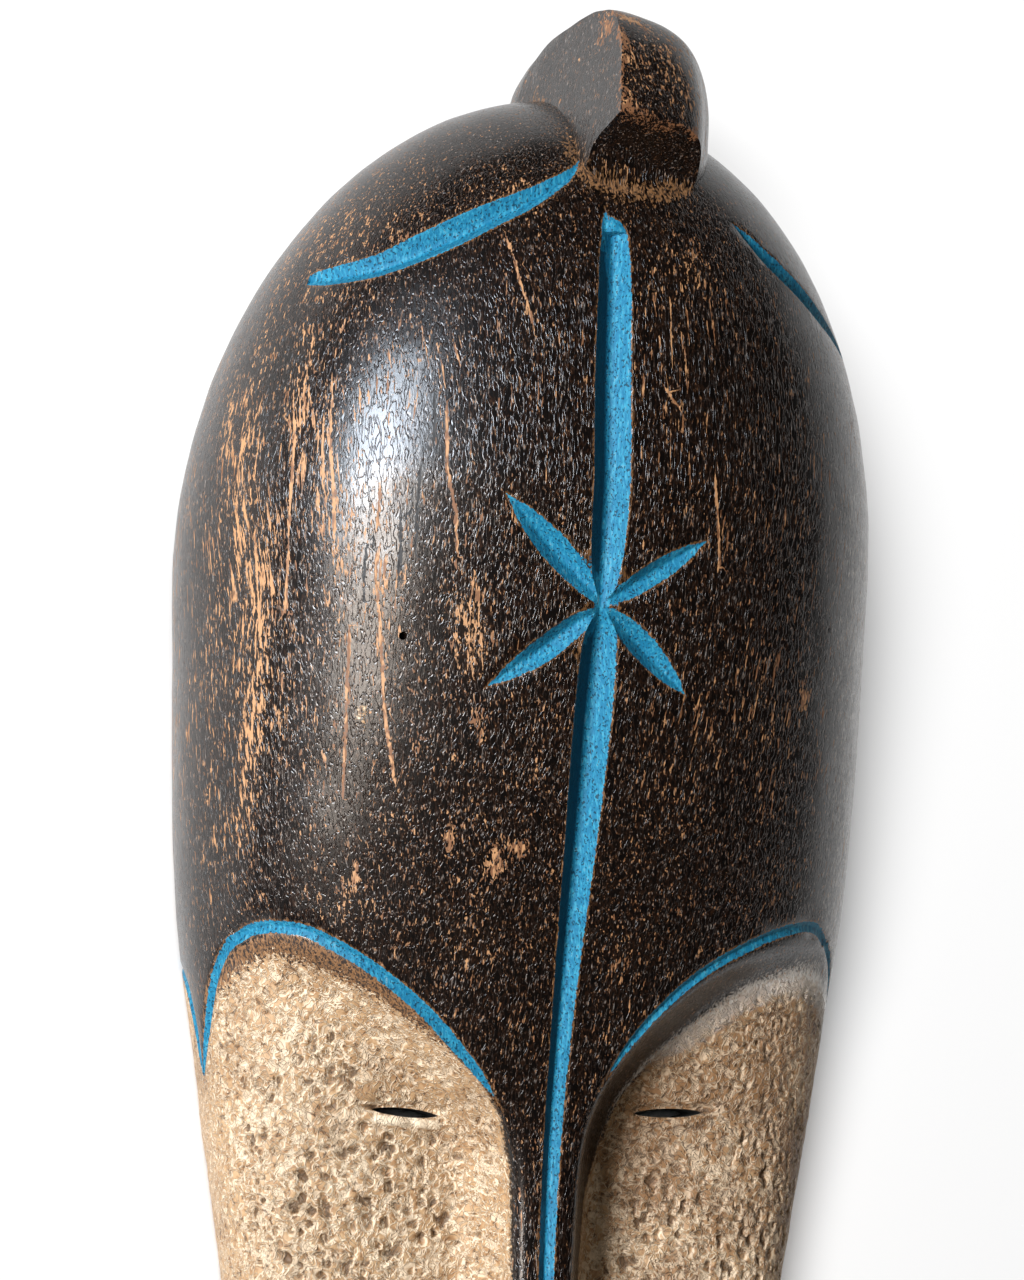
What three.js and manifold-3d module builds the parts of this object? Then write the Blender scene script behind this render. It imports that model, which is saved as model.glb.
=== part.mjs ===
// A long carved wooden mask, all one piece: a tall rounded forehead, a carved topknot, two sunken
// cheeks with slit eyes either side of a long nose, and a hollowed back with a flat rim.
// Millimetres. The mask lies face up: X runs across it, Y up to the crown and Z out of the face.
// The origin is the middle of the rim's plane.

import * as THREE from "three";
import { LoftGeometry } from "three/addons/geometries/LoftGeometry.js";
import { mergeVertices } from "three/addons/utils/BufferGeometryUtils.js";
import Module from "manifold-3d";

// Outline seen from the front.
const CROWN = 288; // Y of the bare crown, under the topknot
const CHIN = -310;
const HALF_WIDTH = 90;
const WIDEST_AT = 166; // Y of the widest place
const CHIN_ROUND = 72; // length of the rounded chin

// Half width between the widest place and the chin, as a share of HALF_WIDTH.
const SIDES = [[CHIN, 0.3], [-200, 0.485], [-60, 0.725], [40, 0.898], [90, 0.971], [WIDEST_AT, 1], [200, 1]];

// Height of the ridge line above the rim, from the chin to the forehead.
const FOREHEAD = 102.4;
const FOREHEAD_AT = 185; // Y where the crown starts to round over
const RIDGE = [[CHIN, 36], [-262, 44], [-200, 51], [-120, 56], [-20, 56.8], [20, 60.3], [60, 70.3],
  [100, 82.9], [140, 93.3], [FOREHEAD_AT, FOREHEAD]];

const SECTION_POWER = 2.2; // of the superellipse that each cross-section follows
const WIDEST_LEVEL = 19.8; // height of the widest line above the rim
const CROWN_LIFT = 28.5; // the widest line rises by this much at the crown
const CHIN_LIFT = 12;
const TUCK_HEIGHT = 80; // below the widest line the wall follows this ellipse inwards
const TUCK_REACH = 90;

// The hollow back.
const HOLLOW_SCALE = [0.8, 0.9]; // of the outline, across and along
const HOLLOW_POWER = 2.6;
const HOLLOW_DEPTH = [[-282, 15], [-200, 21], [-60, 27], [20, 29], [60, 46], [100, 66], [150, 80], [200, 87],
  [258, 87]];
const HOLLOW_ROUND = 60; // length over which each end of the hollow rounds down

// The sunken face: how deep it lies at the middle, less towards the outline.
const FACE_DEPTH = [[-288, 8], [-230, 13], [-180, 18], [-120, 24], [-60, 26]];
const COVE = 13; // width of the concave step down from the nose and the brow
const FACE_TOP = 79;
const FACE_BOTTOM = -288;
const NOSE_END = -172;
// Half width, on each side, of what stands between the cheeks: the nose, then the forehead below the brow.
const NOSE = [[NOSE_END, 13], [-160, 13.5], [-125, 9], [-60, 7.5], [0, 8]];
const CHEEK_EDGES = {
  left: [...NOSE, [17, 9.5], [29, 13.3], [38, 20.5], [50, 33], [60, 46], [67, 58], [72, 72]],
  right: [...NOSE, [22, 8.8], [34, 12], [44, 18], [54.5, 27], [65.5, 41], [72.5, 57], [75.5, 68]],
};

const EYES = { left: [-34, 31], right: [35.5, 31.5], length: 19, height: 2.8 };
const MOUTH = { at: [0, -228], length: 30, height: 3, lips: [21, 9, 5], depth: 8 };

// Grooves with a V section: stations of [x, y, width], pointed at both ends.
const GROOVE_DEPTH = 0.32; // of the width
const STAR = [-0.4, 153.8];
const GROOVES = {
  forehead: [[2, 254, 0], [1, 239, 8], [0, 215, 9.5], [0.2, 180, 9.8], [0.2, 168, 7], [...STAR, 4.6], [0, 143, 8.6],
    [-0.2, 126, 10], [-0.4, 92, 8.1], [-0.3, 48, 5.5], [0, 0, 4.4], [0, -60, 4], [0, -160, 3.4], [0, -168, 0]],
  starUpperLeft: [[...STAR, 0], [-13, 167.5, 7.4], [-26.4, 180.2, 0]],
  starUpperRight: [[...STAR, 0], [13, 162.8, 5.6], [26.4, 171.4, 0]],
  starLowerLeft: [[...STAR, 0], [-13.5, 143, 6.8], [-27.6, 133.3, 0]],
  starLowerRight: [[...STAR, 0], [12.3, 144, 5.5], [23.8, 133.5, 0]],
  crownLeft: [[-5, 266, 0], [-20, 255.5, 5], [-40, 244.5, 6.5], [-56, 237, 5.6], [-69, 235, 0]],
  crownRight: [[34.5, 252.5, 0], [46, 243, 4], [58, 235, 4], [68, 228, 0]],
  browLeft: [[-13, 30, 0], [-26, 46, 3], [-42, 60.5, 3.4], [-58, 70.5, 3.4], [-72, 75, 3], [-79, 71, 0]],
  browRight: [[11, 36, 0], [26, 57, 3], [46, 72, 3.2], [65, 78.4, 3], [76, 76.5, 0]],
};

// The topknot: sections at a height z, from its root inside the crown to its flat front face.
const KNOT_SHEAR = 0.28; // each section's right side sits this much lower per millimetre
const KNOT = [
  { z: 20, x: [-9, 30], y: [240, 280], power: 2.6 },
  { z: 35, x: [-11, 34], y: [240, 299], power: 2.6 },
  { z: 50, x: [-9.5, 36], y: [245, 306.4], power: 2.6 },
  { z: 65, x: [-7, 35.5], y: [250, 307.9], power: 2.8 },
  { z: 80, x: [-4.5, 32.5], y: [257, 305.6], power: 3.2 },
  { z: 92, x: [-2.2, 28.5], y: [266, 300], power: 3.8 },
  { z: 100, x: [-0.8, 25], y: [270.5, 293.5], power: 5 },
  { z: 104.5, x: [0.3, 22.5], y: [273.5, 288.5], power: 5 },
  { z: 106.5, x: [2.5, 20], y: [275.5, 285.5], power: 4 },
];

// How finely the solids are faceted.
const CHIN_ROWS = 7;
const BODY_ROWS = [[-250, 7], [-180, 4], [-164, 12], [20, 13], [80, 8]]; // each stretch's start and its rows
const CROWN_ROWS = 11;
const BODY_COLUMNS = 28;
const TUCK_STEPS = 3;
const HOLLOW_ROWS = 22;
const HOLLOW_COLUMNS = 16;
const COVE_COLUMNS = [-0.8, 0.8, 3.5, 7.5, 13]; // extra columns of the face, this far from each cheek's edge
const KNOT_SIDES = 28;
const GROOVE_STEP = 9;

const clamp01 = (t) => Math.min(Math.max(t, 0), 1);
const spread = (count) => Array.from({ length: count + 1 }, (_, i) => i / count);
const signedPower = (v, p) => Math.sign(v) * Math.abs(v) ** p;
const point = (x, y, z) => new THREE.Vector3(x, y, z);

// A smooth function through stations [position, value], level beyond the two ends.
function smooth(stations) {
  const last = stations.length - 1;
  const slopes = stations.map((_, i) => {
    const [a, b] = [stations[Math.max(i - 1, 0)], stations[Math.min(i + 1, last)]];
    return (b[1] - a[1]) / (b[0] - a[0]);
  });
  return (at) => {
    const y = Math.min(Math.max(at, stations[0][0]), stations[last][0]);
    let i = 0;
    while (i < last - 1 && y > stations[i + 1][0]) i++;
    const [[y0, v0], [y1, v1]] = [stations[i], stations[i + 1]];
    const h = y1 - y0;
    const t = (y - y0) / h;
    const start = (1 + 2 * t) * (1 - t) ** 2 * v0 + t * (1 - t) ** 2 * h * slopes[i];
    const end = t * t * (3 - 2 * t) * v1 + t * t * (t - 1) * h * slopes[i + 1];
    return start + end;
  };
}

// The falling share, from 1 to 0, of an end that rounds over from one place to another.
const roundOver = (y, from, to, power) => Math.sqrt(1 - clamp01((y - from) / (to - from)) ** power);

const sides = smooth(SIDES);
const ridge = smooth(RIDGE);
const faceDepth = smooth(FACE_DEPTH);
const cheekEdges = { left: smooth(CHEEK_EDGES.left), right: smooth(CHEEK_EDGES.right) };
const cheekEdge = (x, y) => (x < 0 ? cheekEdges.left(y) : cheekEdges.right(y));
const hollowDepth = smooth(HOLLOW_DEPTH);

function halfWidth(y) {
  const crown = roundOver(y, WIDEST_AT, CROWN, 2.08);
  const chin = roundOver(y, CHIN + CHIN_ROUND, CHIN, 2.2);
  return HALF_WIDTH * sides(y) * crown * chin;
}

function widestLevel(y) {
  const crown = clamp01((y - 60) / (CROWN - 60));
  const chin = clamp01((-190 - y) / (-190 - CHIN));
  return WIDEST_LEVEL + CROWN_LIFT * crown ** 2 + CHIN_LIFT * chin ** 2;
}

function ridgeHeight(y) {
  const level = widestLevel(y);
  const crown = roundOver(y, FOREHEAD_AT, CROWN, 3.6);
  const chin = roundOver(y, CHIN + CHIN_ROUND - 10, CHIN, 2.6);
  return level + (ridge(y) - level) * crown * chin;
}

// Height of the outer form over a point of its plan, before the face is sunk into it.
function envelope(x, y) {
  const share = clamp01(Math.abs(x) / Math.max(halfWidth(y), 0.01));
  const level = widestLevel(y);
  return level + (ridgeHeight(y) - level) * (1 - share ** SECTION_POWER) ** (1 / SECTION_POWER);
}

// The way out of the outline, in plan, on its right-hand side.
function outwards(y) {
  if (halfWidth(y) < 0.01) return [0, Math.sign(y)];
  const slope = (halfWidth(y + 0.05) - halfWidth(y - 0.05)) / 0.1;
  const length = Math.hypot(1, slope);
  return [1 / length, -slope / length];
}

// A point of the wall under the widest line: side -1 or 1, share 0 at that line and 1 at the rim.
function tuckPoint(side, y, share) {
  const drop = widestLevel(y) * share;
  const inset = TUCK_REACH * (1 - Math.sqrt(1 - (drop / TUCK_HEIGHT) ** 2));
  const [nx, ny] = outwards(y);
  return point(side * (halfWidth(y) - inset * nx), y - inset * ny, widestLevel(y) - drop);
}

// Joins and cuts need closed solids, so a geometry's corners are merged and its folded triangles left out.
const wasm = await Module();
wasm.setup();

function solidOf(geometry) {
  const bare = new THREE.BufferGeometry();
  bare.setAttribute("position", geometry.getAttribute("position"));
  bare.setIndex(geometry.getIndex());
  const merged = mergeVertices(bare, 1e-4);
  const corners = merged.index.array;
  const triangles = [];
  for (let i = 0; i < corners.length; i += 3) {
    const [a, b, c] = corners.subarray(i, i + 3);
    if (a !== b && b !== c && c !== a) triangles.push(a, b, c);
  }
  return new wasm.Manifold(new wasm.Mesh({
    numProp: 3,
    vertProperties: merged.attributes.position.array,
    triVerts: Uint32Array.from(triangles),
  }));
}

function geometryOf(solid) {
  const mesh = solid.getMesh();
  const geometry = new THREE.BufferGeometry();
  geometry.setAttribute("position", new THREE.BufferAttribute(mesh.vertProperties, 3));
  geometry.setIndex(new THREE.BufferAttribute(mesh.triVerts, 1));
  geometry.computeVertexNormals();
  return geometry;
}

// A solid through closed sections. They all have to run anticlockwise as seen from the last one.
function loft(sections, capped) {
  const centre = (ring) => ring.reduce((sum, p) => sum.add(p), point(0, 0, 0)).divideScalar(ring.length);
  const ring = sections[Math.floor(sections.length / 2)];
  const middle = centre(ring);
  const turn = point(0, 0, 0);
  ring.forEach((p, i) => {
    const next = ring[(i + 1) % ring.length];
    turn.add(p.clone().sub(middle).cross(next.clone().sub(middle)));
  });
  const travel = centre(sections.at(-1)).sub(centre(sections[0]));
  const ordered = turn.dot(travel) > 0 ? sections : sections.map((points) => points.toReversed());
  return solidOf(new LoftGeometry(ordered, { capStart: capped, capEnd: capped }));
}

// Where the form's cross-sections are taken, from the chin to the crown, closer at both ends.
function bodyRows() {
  const first = BODY_ROWS[0][0];
  const chin = spread(CHIN_ROWS).map((t) => CHIN + (first - CHIN) * (1 - Math.cos((t * Math.PI) / 2)));
  const crown = spread(CROWN_ROWS).map((t) => FOREHEAD_AT + (CROWN - FOREHEAD_AT) * Math.sin((t * Math.PI) / 2));
  const between = BODY_ROWS.flatMap(([from, count], i) => {
    const to = BODY_ROWS[i + 1]?.[0] ?? FOREHEAD_AT;
    return spread(count).slice(1).map((t) => from + (to - from) * t);
  });
  return [...chin, ...between, ...crown.slice(1)];
}

function bodyColumns(y) {
  return spread(BODY_COLUMNS).map((t) => halfWidth(y) * signedPower(Math.sin((t - 0.5) * Math.PI), 2 / SECTION_POWER));
}

// The whole outer form. Each ring runs up the left wall, over the front and down the right wall.
function bodyRing(y) {
  const down = spread(TUCK_STEPS).slice(1);
  const front = bodyColumns(y).map((x) => point(x, y, envelope(x, y)));
  const left = down.map((share) => tuckPoint(-1, y, share)).reverse();
  return [...left, ...front, ...down.map((share) => tuckPoint(1, y, share))];
}

const body = () => loft(bodyRows().map(bodyRing), false);

// The hollow is a half dome under the same outline, and reaches a little below the rim.
function hollow() {
  const middle = (CROWN + CHIN) / 2;
  const [low, high] = [CHIN, CROWN].map((end) => middle + (end - middle) * HOLLOW_SCALE[1]);
  const rings = spread(HOLLOW_ROWS).map((t) => {
    const y = (low + high) / 2 - ((high - low) / 2) * Math.cos(t * Math.PI);
    const width = HOLLOW_SCALE[0] * halfWidth(middle + (y - middle) / HOLLOW_SCALE[1]);
    const ends = roundOver(y, high - HOLLOW_ROUND, high, 2.4) * roundOver(y, low + HOLLOW_ROUND, low, 2.4);
    const top = hollowDepth(y) * ends;
    const arch = spread(HOLLOW_COLUMNS).map((s) => {
      const angle = (s - 0.5) * Math.PI;
      const rise = signedPower(Math.max(Math.cos(angle), 0), 2 / HOLLOW_POWER);
      return point(width * signedPower(Math.sin(angle), 2 / HOLLOW_POWER), y, top * rise);
    });
    const below = -4;
    return [point(arch[0].x, y, below), ...arch, point(arch.at(-1).x, y, below)];
  });
  return loft(rings, false);
}

// How far the face lies under the outer form: nothing on the nose, a concave step beside it.
function faceSunk(x, y) {
  const share = clamp01(Math.abs(x) / Math.max(halfWidth(y), 0.01));
  const inside = Math.min(Math.abs(x) - (y > NOSE_END ? cheekEdge(x, y) : -COVE), FACE_TOP - y);
  const cove = 1 - (1 - clamp01(inside / COVE)) ** 2;
  const chin = clamp01((y - FACE_BOTTOM) / 45);
  return faceDepth(y) * (1 - share) * cove * chin ** 0.7;
}

// What is carved away over the face: its floor is the sunken face, its roof clears the forehead.
function faceCutter() {
  const lift = 1.2; // where nothing is carved the floor passes this far over the wood
  const roof = FOREHEAD + 20;
  const rows = bodyRows().filter((y) => y > FACE_BOTTOM + 1 && y < FACE_TOP - 1);
  const rings = [FACE_BOTTOM, ...rows, FACE_TOP].map((y) => {
    const coves = [-1, 1].flatMap((side) => {
      const edge = Math.min(cheekEdge(side, Math.max(y, NOSE_END)), halfWidth(y) * 0.8);
      return COVE_COLUMNS.map((away) => side * Math.min(edge + away, halfWidth(y) * (0.8 + away / 100)));
    });
    const across = [...bodyColumns(y), ...coves].sort((a, b) => a - b);
    const floor = across.map((x) => {
      const sunk = faceSunk(x, y);
      return point(x, y, envelope(x, y) - sunk + lift * clamp01(1 - sunk));
    });
    return [point(across[0], y, roof), ...floor, point(across.at(-1), y, roof)];
  });
  return loft(rings, true);
}

// A slit through the wood, straight along Z, pointed at both ends.
function slit([x, y], length, height, low, high) {
  const outline = (z) => spread(16).slice(1).map((t) => {
    const angle = t * 2 * Math.PI;
    return point(x + (length / 2) * Math.cos(angle), y + (height / 2) * signedPower(Math.sin(angle), 1.4), z);
  });
  return loft([outline(low), outline(high)], true);
}

// The wood's outward normal at a point of the outer form.
function normalAt(x, y) {
  const step = 0.5;
  const dx = (envelope(x + step, y) - envelope(x - step, y)) / (2 * step);
  const dy = (envelope(x, y + step) - envelope(x, y - step)) / (2 * step);
  return point(-dx, -dy, 1).normalize();
}

// A V-shaped cutter along a smooth line on the surface, from a point to a point.
function grooveCutter(stations) {
  const line = new THREE.CatmullRomCurve3(stations.map(([x, y, width]) => point(x, y, width)), false, "centripetal");
  const steps = Math.max(Math.round(line.getLength() / GROOVE_STEP), 6);
  const places = line.getSpacedPoints(steps);
  const rings = places.map((place, i) => {
    const [before, after] = [places[Math.max(i - 1, 0)], places[Math.min(i + 1, steps)]];
    const normal = normalAt(place.x, place.y);
    const along = point(after.x - before.x, after.y - before.y, 0).normalize();
    along.addScaledVector(normal, -along.dot(normal)).normalize();
    const across = new THREE.Vector3().crossVectors(along, normal);
    const width = Math.max(place.z, 0.5);
    const onWood = point(place.x, place.y, envelope(place.x, place.y));
    const corner = (side, up) => onWood.clone().addScaledVector(across, side).addScaledVector(normal, up);
    const lift = 1.5;
    const mouth = (width / 2) * (1 + lift / (GROOVE_DEPTH * width));
    return [corner(-mouth, lift), corner(0, -GROOVE_DEPTH * width), corner(mouth, lift)];
  });
  return loft(rings, true);
}

function knotSection({ z, x: [left, right], y: [low, high], power }) {
  const middle = (left + right) / 2;
  return spread(KNOT_SIDES).slice(1).map((t) => {
    const angle = t * 2 * Math.PI;
    const x = middle + ((right - left) / 2) * signedPower(Math.cos(angle), 2 / power);
    const y = (low + high) / 2 + ((high - low) / 2) * signedPower(Math.sin(angle), 2 / power);
    return point(x, y - KNOT_SHEAR * (x - middle), z);
  });
}

function lips() {
  const [x, y] = MOUTH.at;
  const geometry = new THREE.SphereGeometry(1, 20, 12).scale(...MOUTH.lips);
  return solidOf(geometry.translate(x, y, envelope(x, y) - faceSunk(x, y)));
}

function carvedMask() {
  const [mouthX, mouthY] = MOUTH.at;
  const lipLevel = envelope(mouthX, mouthY) - faceSunk(mouthX, mouthY);
  const mouthFloor = lipLevel + MOUTH.lips[2] - MOUTH.depth;
  let mask = body().add(loft(KNOT.map(knotSection), true)).subtract(faceCutter()).add(lips());
  mask = mask.subtract(slit(MOUTH.at, MOUTH.length, MOUTH.height, mouthFloor, FOREHEAD));
  for (const eye of [EYES.left, EYES.right]) {
    mask = mask.subtract(slit(eye, EYES.length, EYES.height, 0, FOREHEAD));
  }
  for (const stations of Object.values(GROOVES)) mask = mask.subtract(grooveCutter(stations));
  return mask.subtract(hollow());
}

const darkWood = new THREE.MeshStandardMaterial({ color: 0x3a2a20, roughness: 0.45, metalness: 0 });
const mask = new THREE.Mesh(geometryOf(carvedMask()), darkWood);
mask.name = "carved_mask";

const model = new THREE.Group();
model.add(mask);

export default model;
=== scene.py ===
"""A long carved wooden mask, lying face up on a pale floor.

The whole mask is one piece of wood: a dark stained forehead with a topknot and blue painted grooves,
two sunken, whitened cheeks with slit eyes either side of a long nose, and a hollow back.
X runs across, Y up to the crown and Z out of the face. Lengths are in millimetres, apart from the floor's
and the lights', which are in metres.
"""

import math

import bmesh
import bpy
import numpy as np
from mathutils import Matrix, Vector


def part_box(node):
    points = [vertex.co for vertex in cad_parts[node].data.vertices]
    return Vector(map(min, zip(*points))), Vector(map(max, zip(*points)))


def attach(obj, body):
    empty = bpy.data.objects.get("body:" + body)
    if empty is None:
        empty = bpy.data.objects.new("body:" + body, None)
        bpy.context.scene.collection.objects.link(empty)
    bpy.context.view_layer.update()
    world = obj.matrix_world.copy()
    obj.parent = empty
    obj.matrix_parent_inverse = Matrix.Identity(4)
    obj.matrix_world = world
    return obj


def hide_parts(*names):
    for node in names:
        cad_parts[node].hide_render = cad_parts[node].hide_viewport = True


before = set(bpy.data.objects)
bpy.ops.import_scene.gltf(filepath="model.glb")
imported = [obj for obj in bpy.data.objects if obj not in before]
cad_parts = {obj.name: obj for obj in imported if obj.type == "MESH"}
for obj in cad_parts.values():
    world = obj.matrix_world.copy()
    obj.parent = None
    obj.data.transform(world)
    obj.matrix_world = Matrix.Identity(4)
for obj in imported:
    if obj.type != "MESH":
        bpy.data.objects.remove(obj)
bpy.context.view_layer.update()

MASK = "carved_mask"
MM = 0.001
LOW, HIGH = (np.array(corner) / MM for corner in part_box(MASK))

# Outline and profile of the form.
CHIN = LOW[1]
CROWN = HIGH[1] - 21.4  # the topknot reaches past the bare crown
MIDDLE = (CROWN + CHIN) / 2
HALF_WIDTH = HIGH[0]
WIDEST_AT = 166
FOREHEAD_AT = 185
SIDES = ((CHIN, 0.3), (-200, 0.485), (-60, 0.725), (40, 0.898), (90, 0.971), (WIDEST_AT, 1), (200, 1))
RIDGE = ((CHIN, 36), (-262, 44), (-200, 51), (-120, 56), (-20, 56.8), (20, 60.3), (60, 70.3), (100, 82.9),
         (140, 93.3), (FOREHEAD_AT, 102.4))
LEAN = ((40, 0), (110, -0.3), (175, -1.1), (235, -0.5), (CROWN, 0))  # the ridge isn't quite straight
CHIN_ROUND_ACROSS, CHIN_ROUND_UP = 72, 62  # where its outline and its ridge start to round over
SECTION_POWER = 2.2
TUCK_HEIGHT = 80
TUCK_REACH = 90

# The height of the widest line, where it starts to rise to each end and by how much.
LEVEL = 19.8
LEVEL_CROWN_FROM, LEVEL_CROWN_RISE = 60, 28.5
LEVEL_CHIN_FROM, LEVEL_CHIN_RISE = -190, 12

# The sunken face.
FACE_DEPTH = ((-288, 8), (-230, 13), (-180, 18), (-120, 24), (-60, 26))
FACE_TOP = 79
FACE_BOTTOM = -288
COVE = 12
NOSE_END = -172
NOSE = ((NOSE_END - 8, 15), (-160, 13.5), (-125, 9), (-60, 7.5), (0, 8))
CHEEK_LEFT = NOSE + ((17, 9.5), (29, 13.3), (38, 20.5), (50, 33), (60, 46), (67, 58), (72, 72))
CHEEK_RIGHT = NOSE + ((22, 8.8), (34, 12), (44, 18), (54.5, 27), (65.5, 41), (72.5, 57), (75.5, 68))
EYES = ((-33.6, 29.9, -0.07), (35.5, 31.2, 0.03))  # x, y, rise over run
EYE_LENGTH, EYE_HEIGHT = 18, 2.3
MOUTH = (0, -228)
MOUTH_LENGTH, MOUTH_HEIGHT, MOUTH_DEPTH = 30, 3, 8
LIPS = (21, 9, 5)  # half the length, half the height, rise
SLIT_LOW, SLIT_HIGH = 2, 110  # heights inside the hollow and over the face

# The hollow back.
HOLLOW_ACROSS, HOLLOW_ALONG = 0.8, 0.9
HOLLOW_POWER = 2.6
HOLLOW_DEPTH = ((-282, 15), (-200, 21), (-60, 27), (20, 29), (60, 46), (100, 66), (150, 80), (200, 87),
                (258, 87))
HOLLOW_ROUND = 60
HOLLOW_LOW, HOLLOW_HIGH = (MIDDLE + (end - MIDDLE) * HOLLOW_ALONG for end in (CHIN, CROWN))

# Painted V grooves: the share of its width that a wide one is deep, and where the star's arms meet.
GROOVE_DEPTH = 0.48
STAR = (-0.4, 153.8)

# The hole that an insect bored into the forehead.
HOLE = (-47.9, 145.3)
HOLE_WIDTH, HOLE_DEPTH = 2, 7

MOST_TRIANGLES = 190000
SHARP_ANGLE = 40


def smooth(stations):
    """A smooth function through stations (position, value), level beyond the two ends."""
    at, value = np.array(stations, float).T
    slope = np.gradient(value, at)
    slope[1:-1] = (value[2:] - value[:-2]) / (at[2:] - at[:-2])

    def curve(position):
        y = np.clip(position, at[0], at[-1])
        i = np.clip(np.searchsorted(at, y, side="right") - 1, 0, len(at) - 2)
        step = at[i + 1] - at[i]
        t = (y - at[i]) / step
        start = (1 + 2 * t) * (1 - t) ** 2 * value[i] + t * (1 - t) ** 2 * step * slope[i]
        return start + t * t * (3 - 2 * t) * value[i + 1] + t * t * (t - 1) * step * slope[i + 1]

    return curve


def clamp01(t):
    return np.clip(t, 0, 1)


def ease(t):
    t = clamp01(t)
    return t * t * (3 - 2 * t)


def spot(*shares):
    """1 in the middle of a soft spot and 0 far from it, by the distances from its middle over its reach."""
    return np.exp(-sum(share**2 for share in shares))


def round_over(y, start, end, power):
    """The falling share, from 1 to 0, of an end that rounds over from one place to another."""
    return np.sqrt(1 - clamp01((y - start) / (end - start)) ** power)


sides = smooth(SIDES)
ridge = smooth(RIDGE)
lean = smooth(LEAN)
face_depth = smooth(FACE_DEPTH)
cheek_left = smooth(CHEEK_LEFT)
cheek_right = smooth(CHEEK_RIGHT)
hollow_depth = smooth(HOLLOW_DEPTH)


def half_width(y):
    crown = round_over(y, WIDEST_AT, CROWN, power=2.08)
    chin = round_over(y, CHIN + CHIN_ROUND_ACROSS, CHIN, power=2.2)
    return HALF_WIDTH * sides(y) * crown * chin


def widest_level(y):
    crown = clamp01((y - LEVEL_CROWN_FROM) / (CROWN - LEVEL_CROWN_FROM))
    chin = clamp01((LEVEL_CHIN_FROM - y) / (LEVEL_CHIN_FROM - CHIN))
    return LEVEL + LEVEL_CROWN_RISE * crown**2 + LEVEL_CHIN_RISE * chin**2


def ridge_height(y):
    level = widest_level(y)
    crown = round_over(y, FOREHEAD_AT, CROWN, power=3.6)
    chin = round_over(y, CHIN + CHIN_ROUND_UP, CHIN, power=2.6)
    return level + (ridge(y) - level) * crown * chin


def section(y, turn):
    """A point of the outer form: turn is 0 on the ridge, 1 or -1 at the widest line, 2 or -2 at the rim."""
    away = np.abs(turn)
    angle = clamp01(away) * math.pi / 2
    level = widest_level(y)
    x = half_width(y) * np.sin(angle) ** (2 / SECTION_POWER)
    z = level + (ridge_height(y) - level) * np.cos(angle) ** (2 / SECTION_POWER)
    drop = level * clamp01(away - 1)
    inset = TUCK_REACH * (1 - np.sqrt(1 - (drop / TUCK_HEIGHT) ** 2))
    slope = (half_width(y + 0.05) - half_width(y - 0.05)) / 0.1
    length = np.hypot(1, slope)
    x = np.sign(turn) * (x - inset / length) + lean(y)
    return np.stack([x, y + inset * slope / length, z - drop], -1)


# A table of the way along each section, from the ridge to the rim.
TABLE_Y = np.linspace(CHIN + 0.02, CROWN - 0.02, 500)
TABLE_TURN = np.linspace(0, 2, 321)


def section_lengths():
    points = section(*np.meshgrid(TABLE_Y, TABLE_TURN, indexing="ij"))
    steps = np.linalg.norm(np.diff(points[..., [0, 2]], axis=1), axis=-1)
    return np.concatenate([np.zeros((len(TABLE_Y), 1)), np.cumsum(steps, axis=1)], axis=1)


LENGTHS = section_lengths()


def table_place(share, count):
    """The entry of a table at or before a share of its length, and the share of the way to the next."""
    place = clamp01(share) * (count - 1.001)
    return place.astype(int), place - place.astype(int)


def table_row(y):
    return table_place((y - TABLE_Y[0]) / (TABLE_Y[-1] - TABLE_Y[0]), len(TABLE_Y))


def around(y, turn):
    """How far along its section a point lies from the ridge, in millimetres."""
    i, s = table_row(y)
    j, t = table_place(np.abs(turn) / 2, len(TABLE_TURN))
    low = LENGTHS[i, j] * (1 - t) + LENGTHS[i, j + 1] * t
    high = LENGTHS[i + 1, j] * (1 - t) + LENGTHS[i + 1, j + 1] * t
    return np.sign(turn) * (low * (1 - s) + high * s)


def turn_of(y, s):
    """The turn of the point that lies s millimetres along the section at y."""
    y, s = np.atleast_1d(y).astype(float), np.atleast_1d(s).astype(float)
    i, part = table_row(y)
    lengths = LENGTHS[i] * (1 - part)[:, None] + LENGTHS[i + 1] * part[:, None]
    return np.array([np.interp(abs(a), line, TABLE_TURN) * np.sign(a) for a, line in zip(s, lengths)])


def turn_over(x, y):
    """The turn of the point of the front that lies over a point of the plan."""
    share = np.abs(x - lean(y)) / np.maximum(half_width(y), 0.01)
    return np.sign(x - lean(y)) * np.arcsin(clamp01(share) ** (SECTION_POWER / 2)) * 2 / math.pi


def face_sunk(x, y):
    """How far the face lies under the outer form: nothing on the nose, a concave step beside it."""
    x = x - lean(y)
    share = clamp01(np.abs(x) / np.maximum(half_width(y), 0.01))

    def step(inside):
        soft = 0.5 * (inside + np.sqrt(inside**2 + 1.4**2))
        return 1 - (1 - clamp01(soft / COVE)) ** 2

    def cheek_edge(y):
        return np.where(x < 0, cheek_left(y), cheek_right(y))

    slope = cheek_edge(y + 0.5) - cheek_edge(y - 0.5)
    beside = (np.abs(x) - cheek_edge(y)) / np.hypot(1, slope)
    below = FACE_TOP - y
    nose = ease((y - NOSE_END) / 5)
    cheeks = nose * step(np.minimum(beside, below)) + (1 - nose) * step(np.minimum(np.abs(x) + COVE, below))
    chin = clamp01((y - FACE_BOTTOM) / 45) ** 0.7
    return face_depth(y) * (1 - share) * cheeks * chin


def form_height(x, y):
    """Height of the outer form's front over a point of the plan."""
    return section(y, turn_over(x, y))[..., 2]


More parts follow.
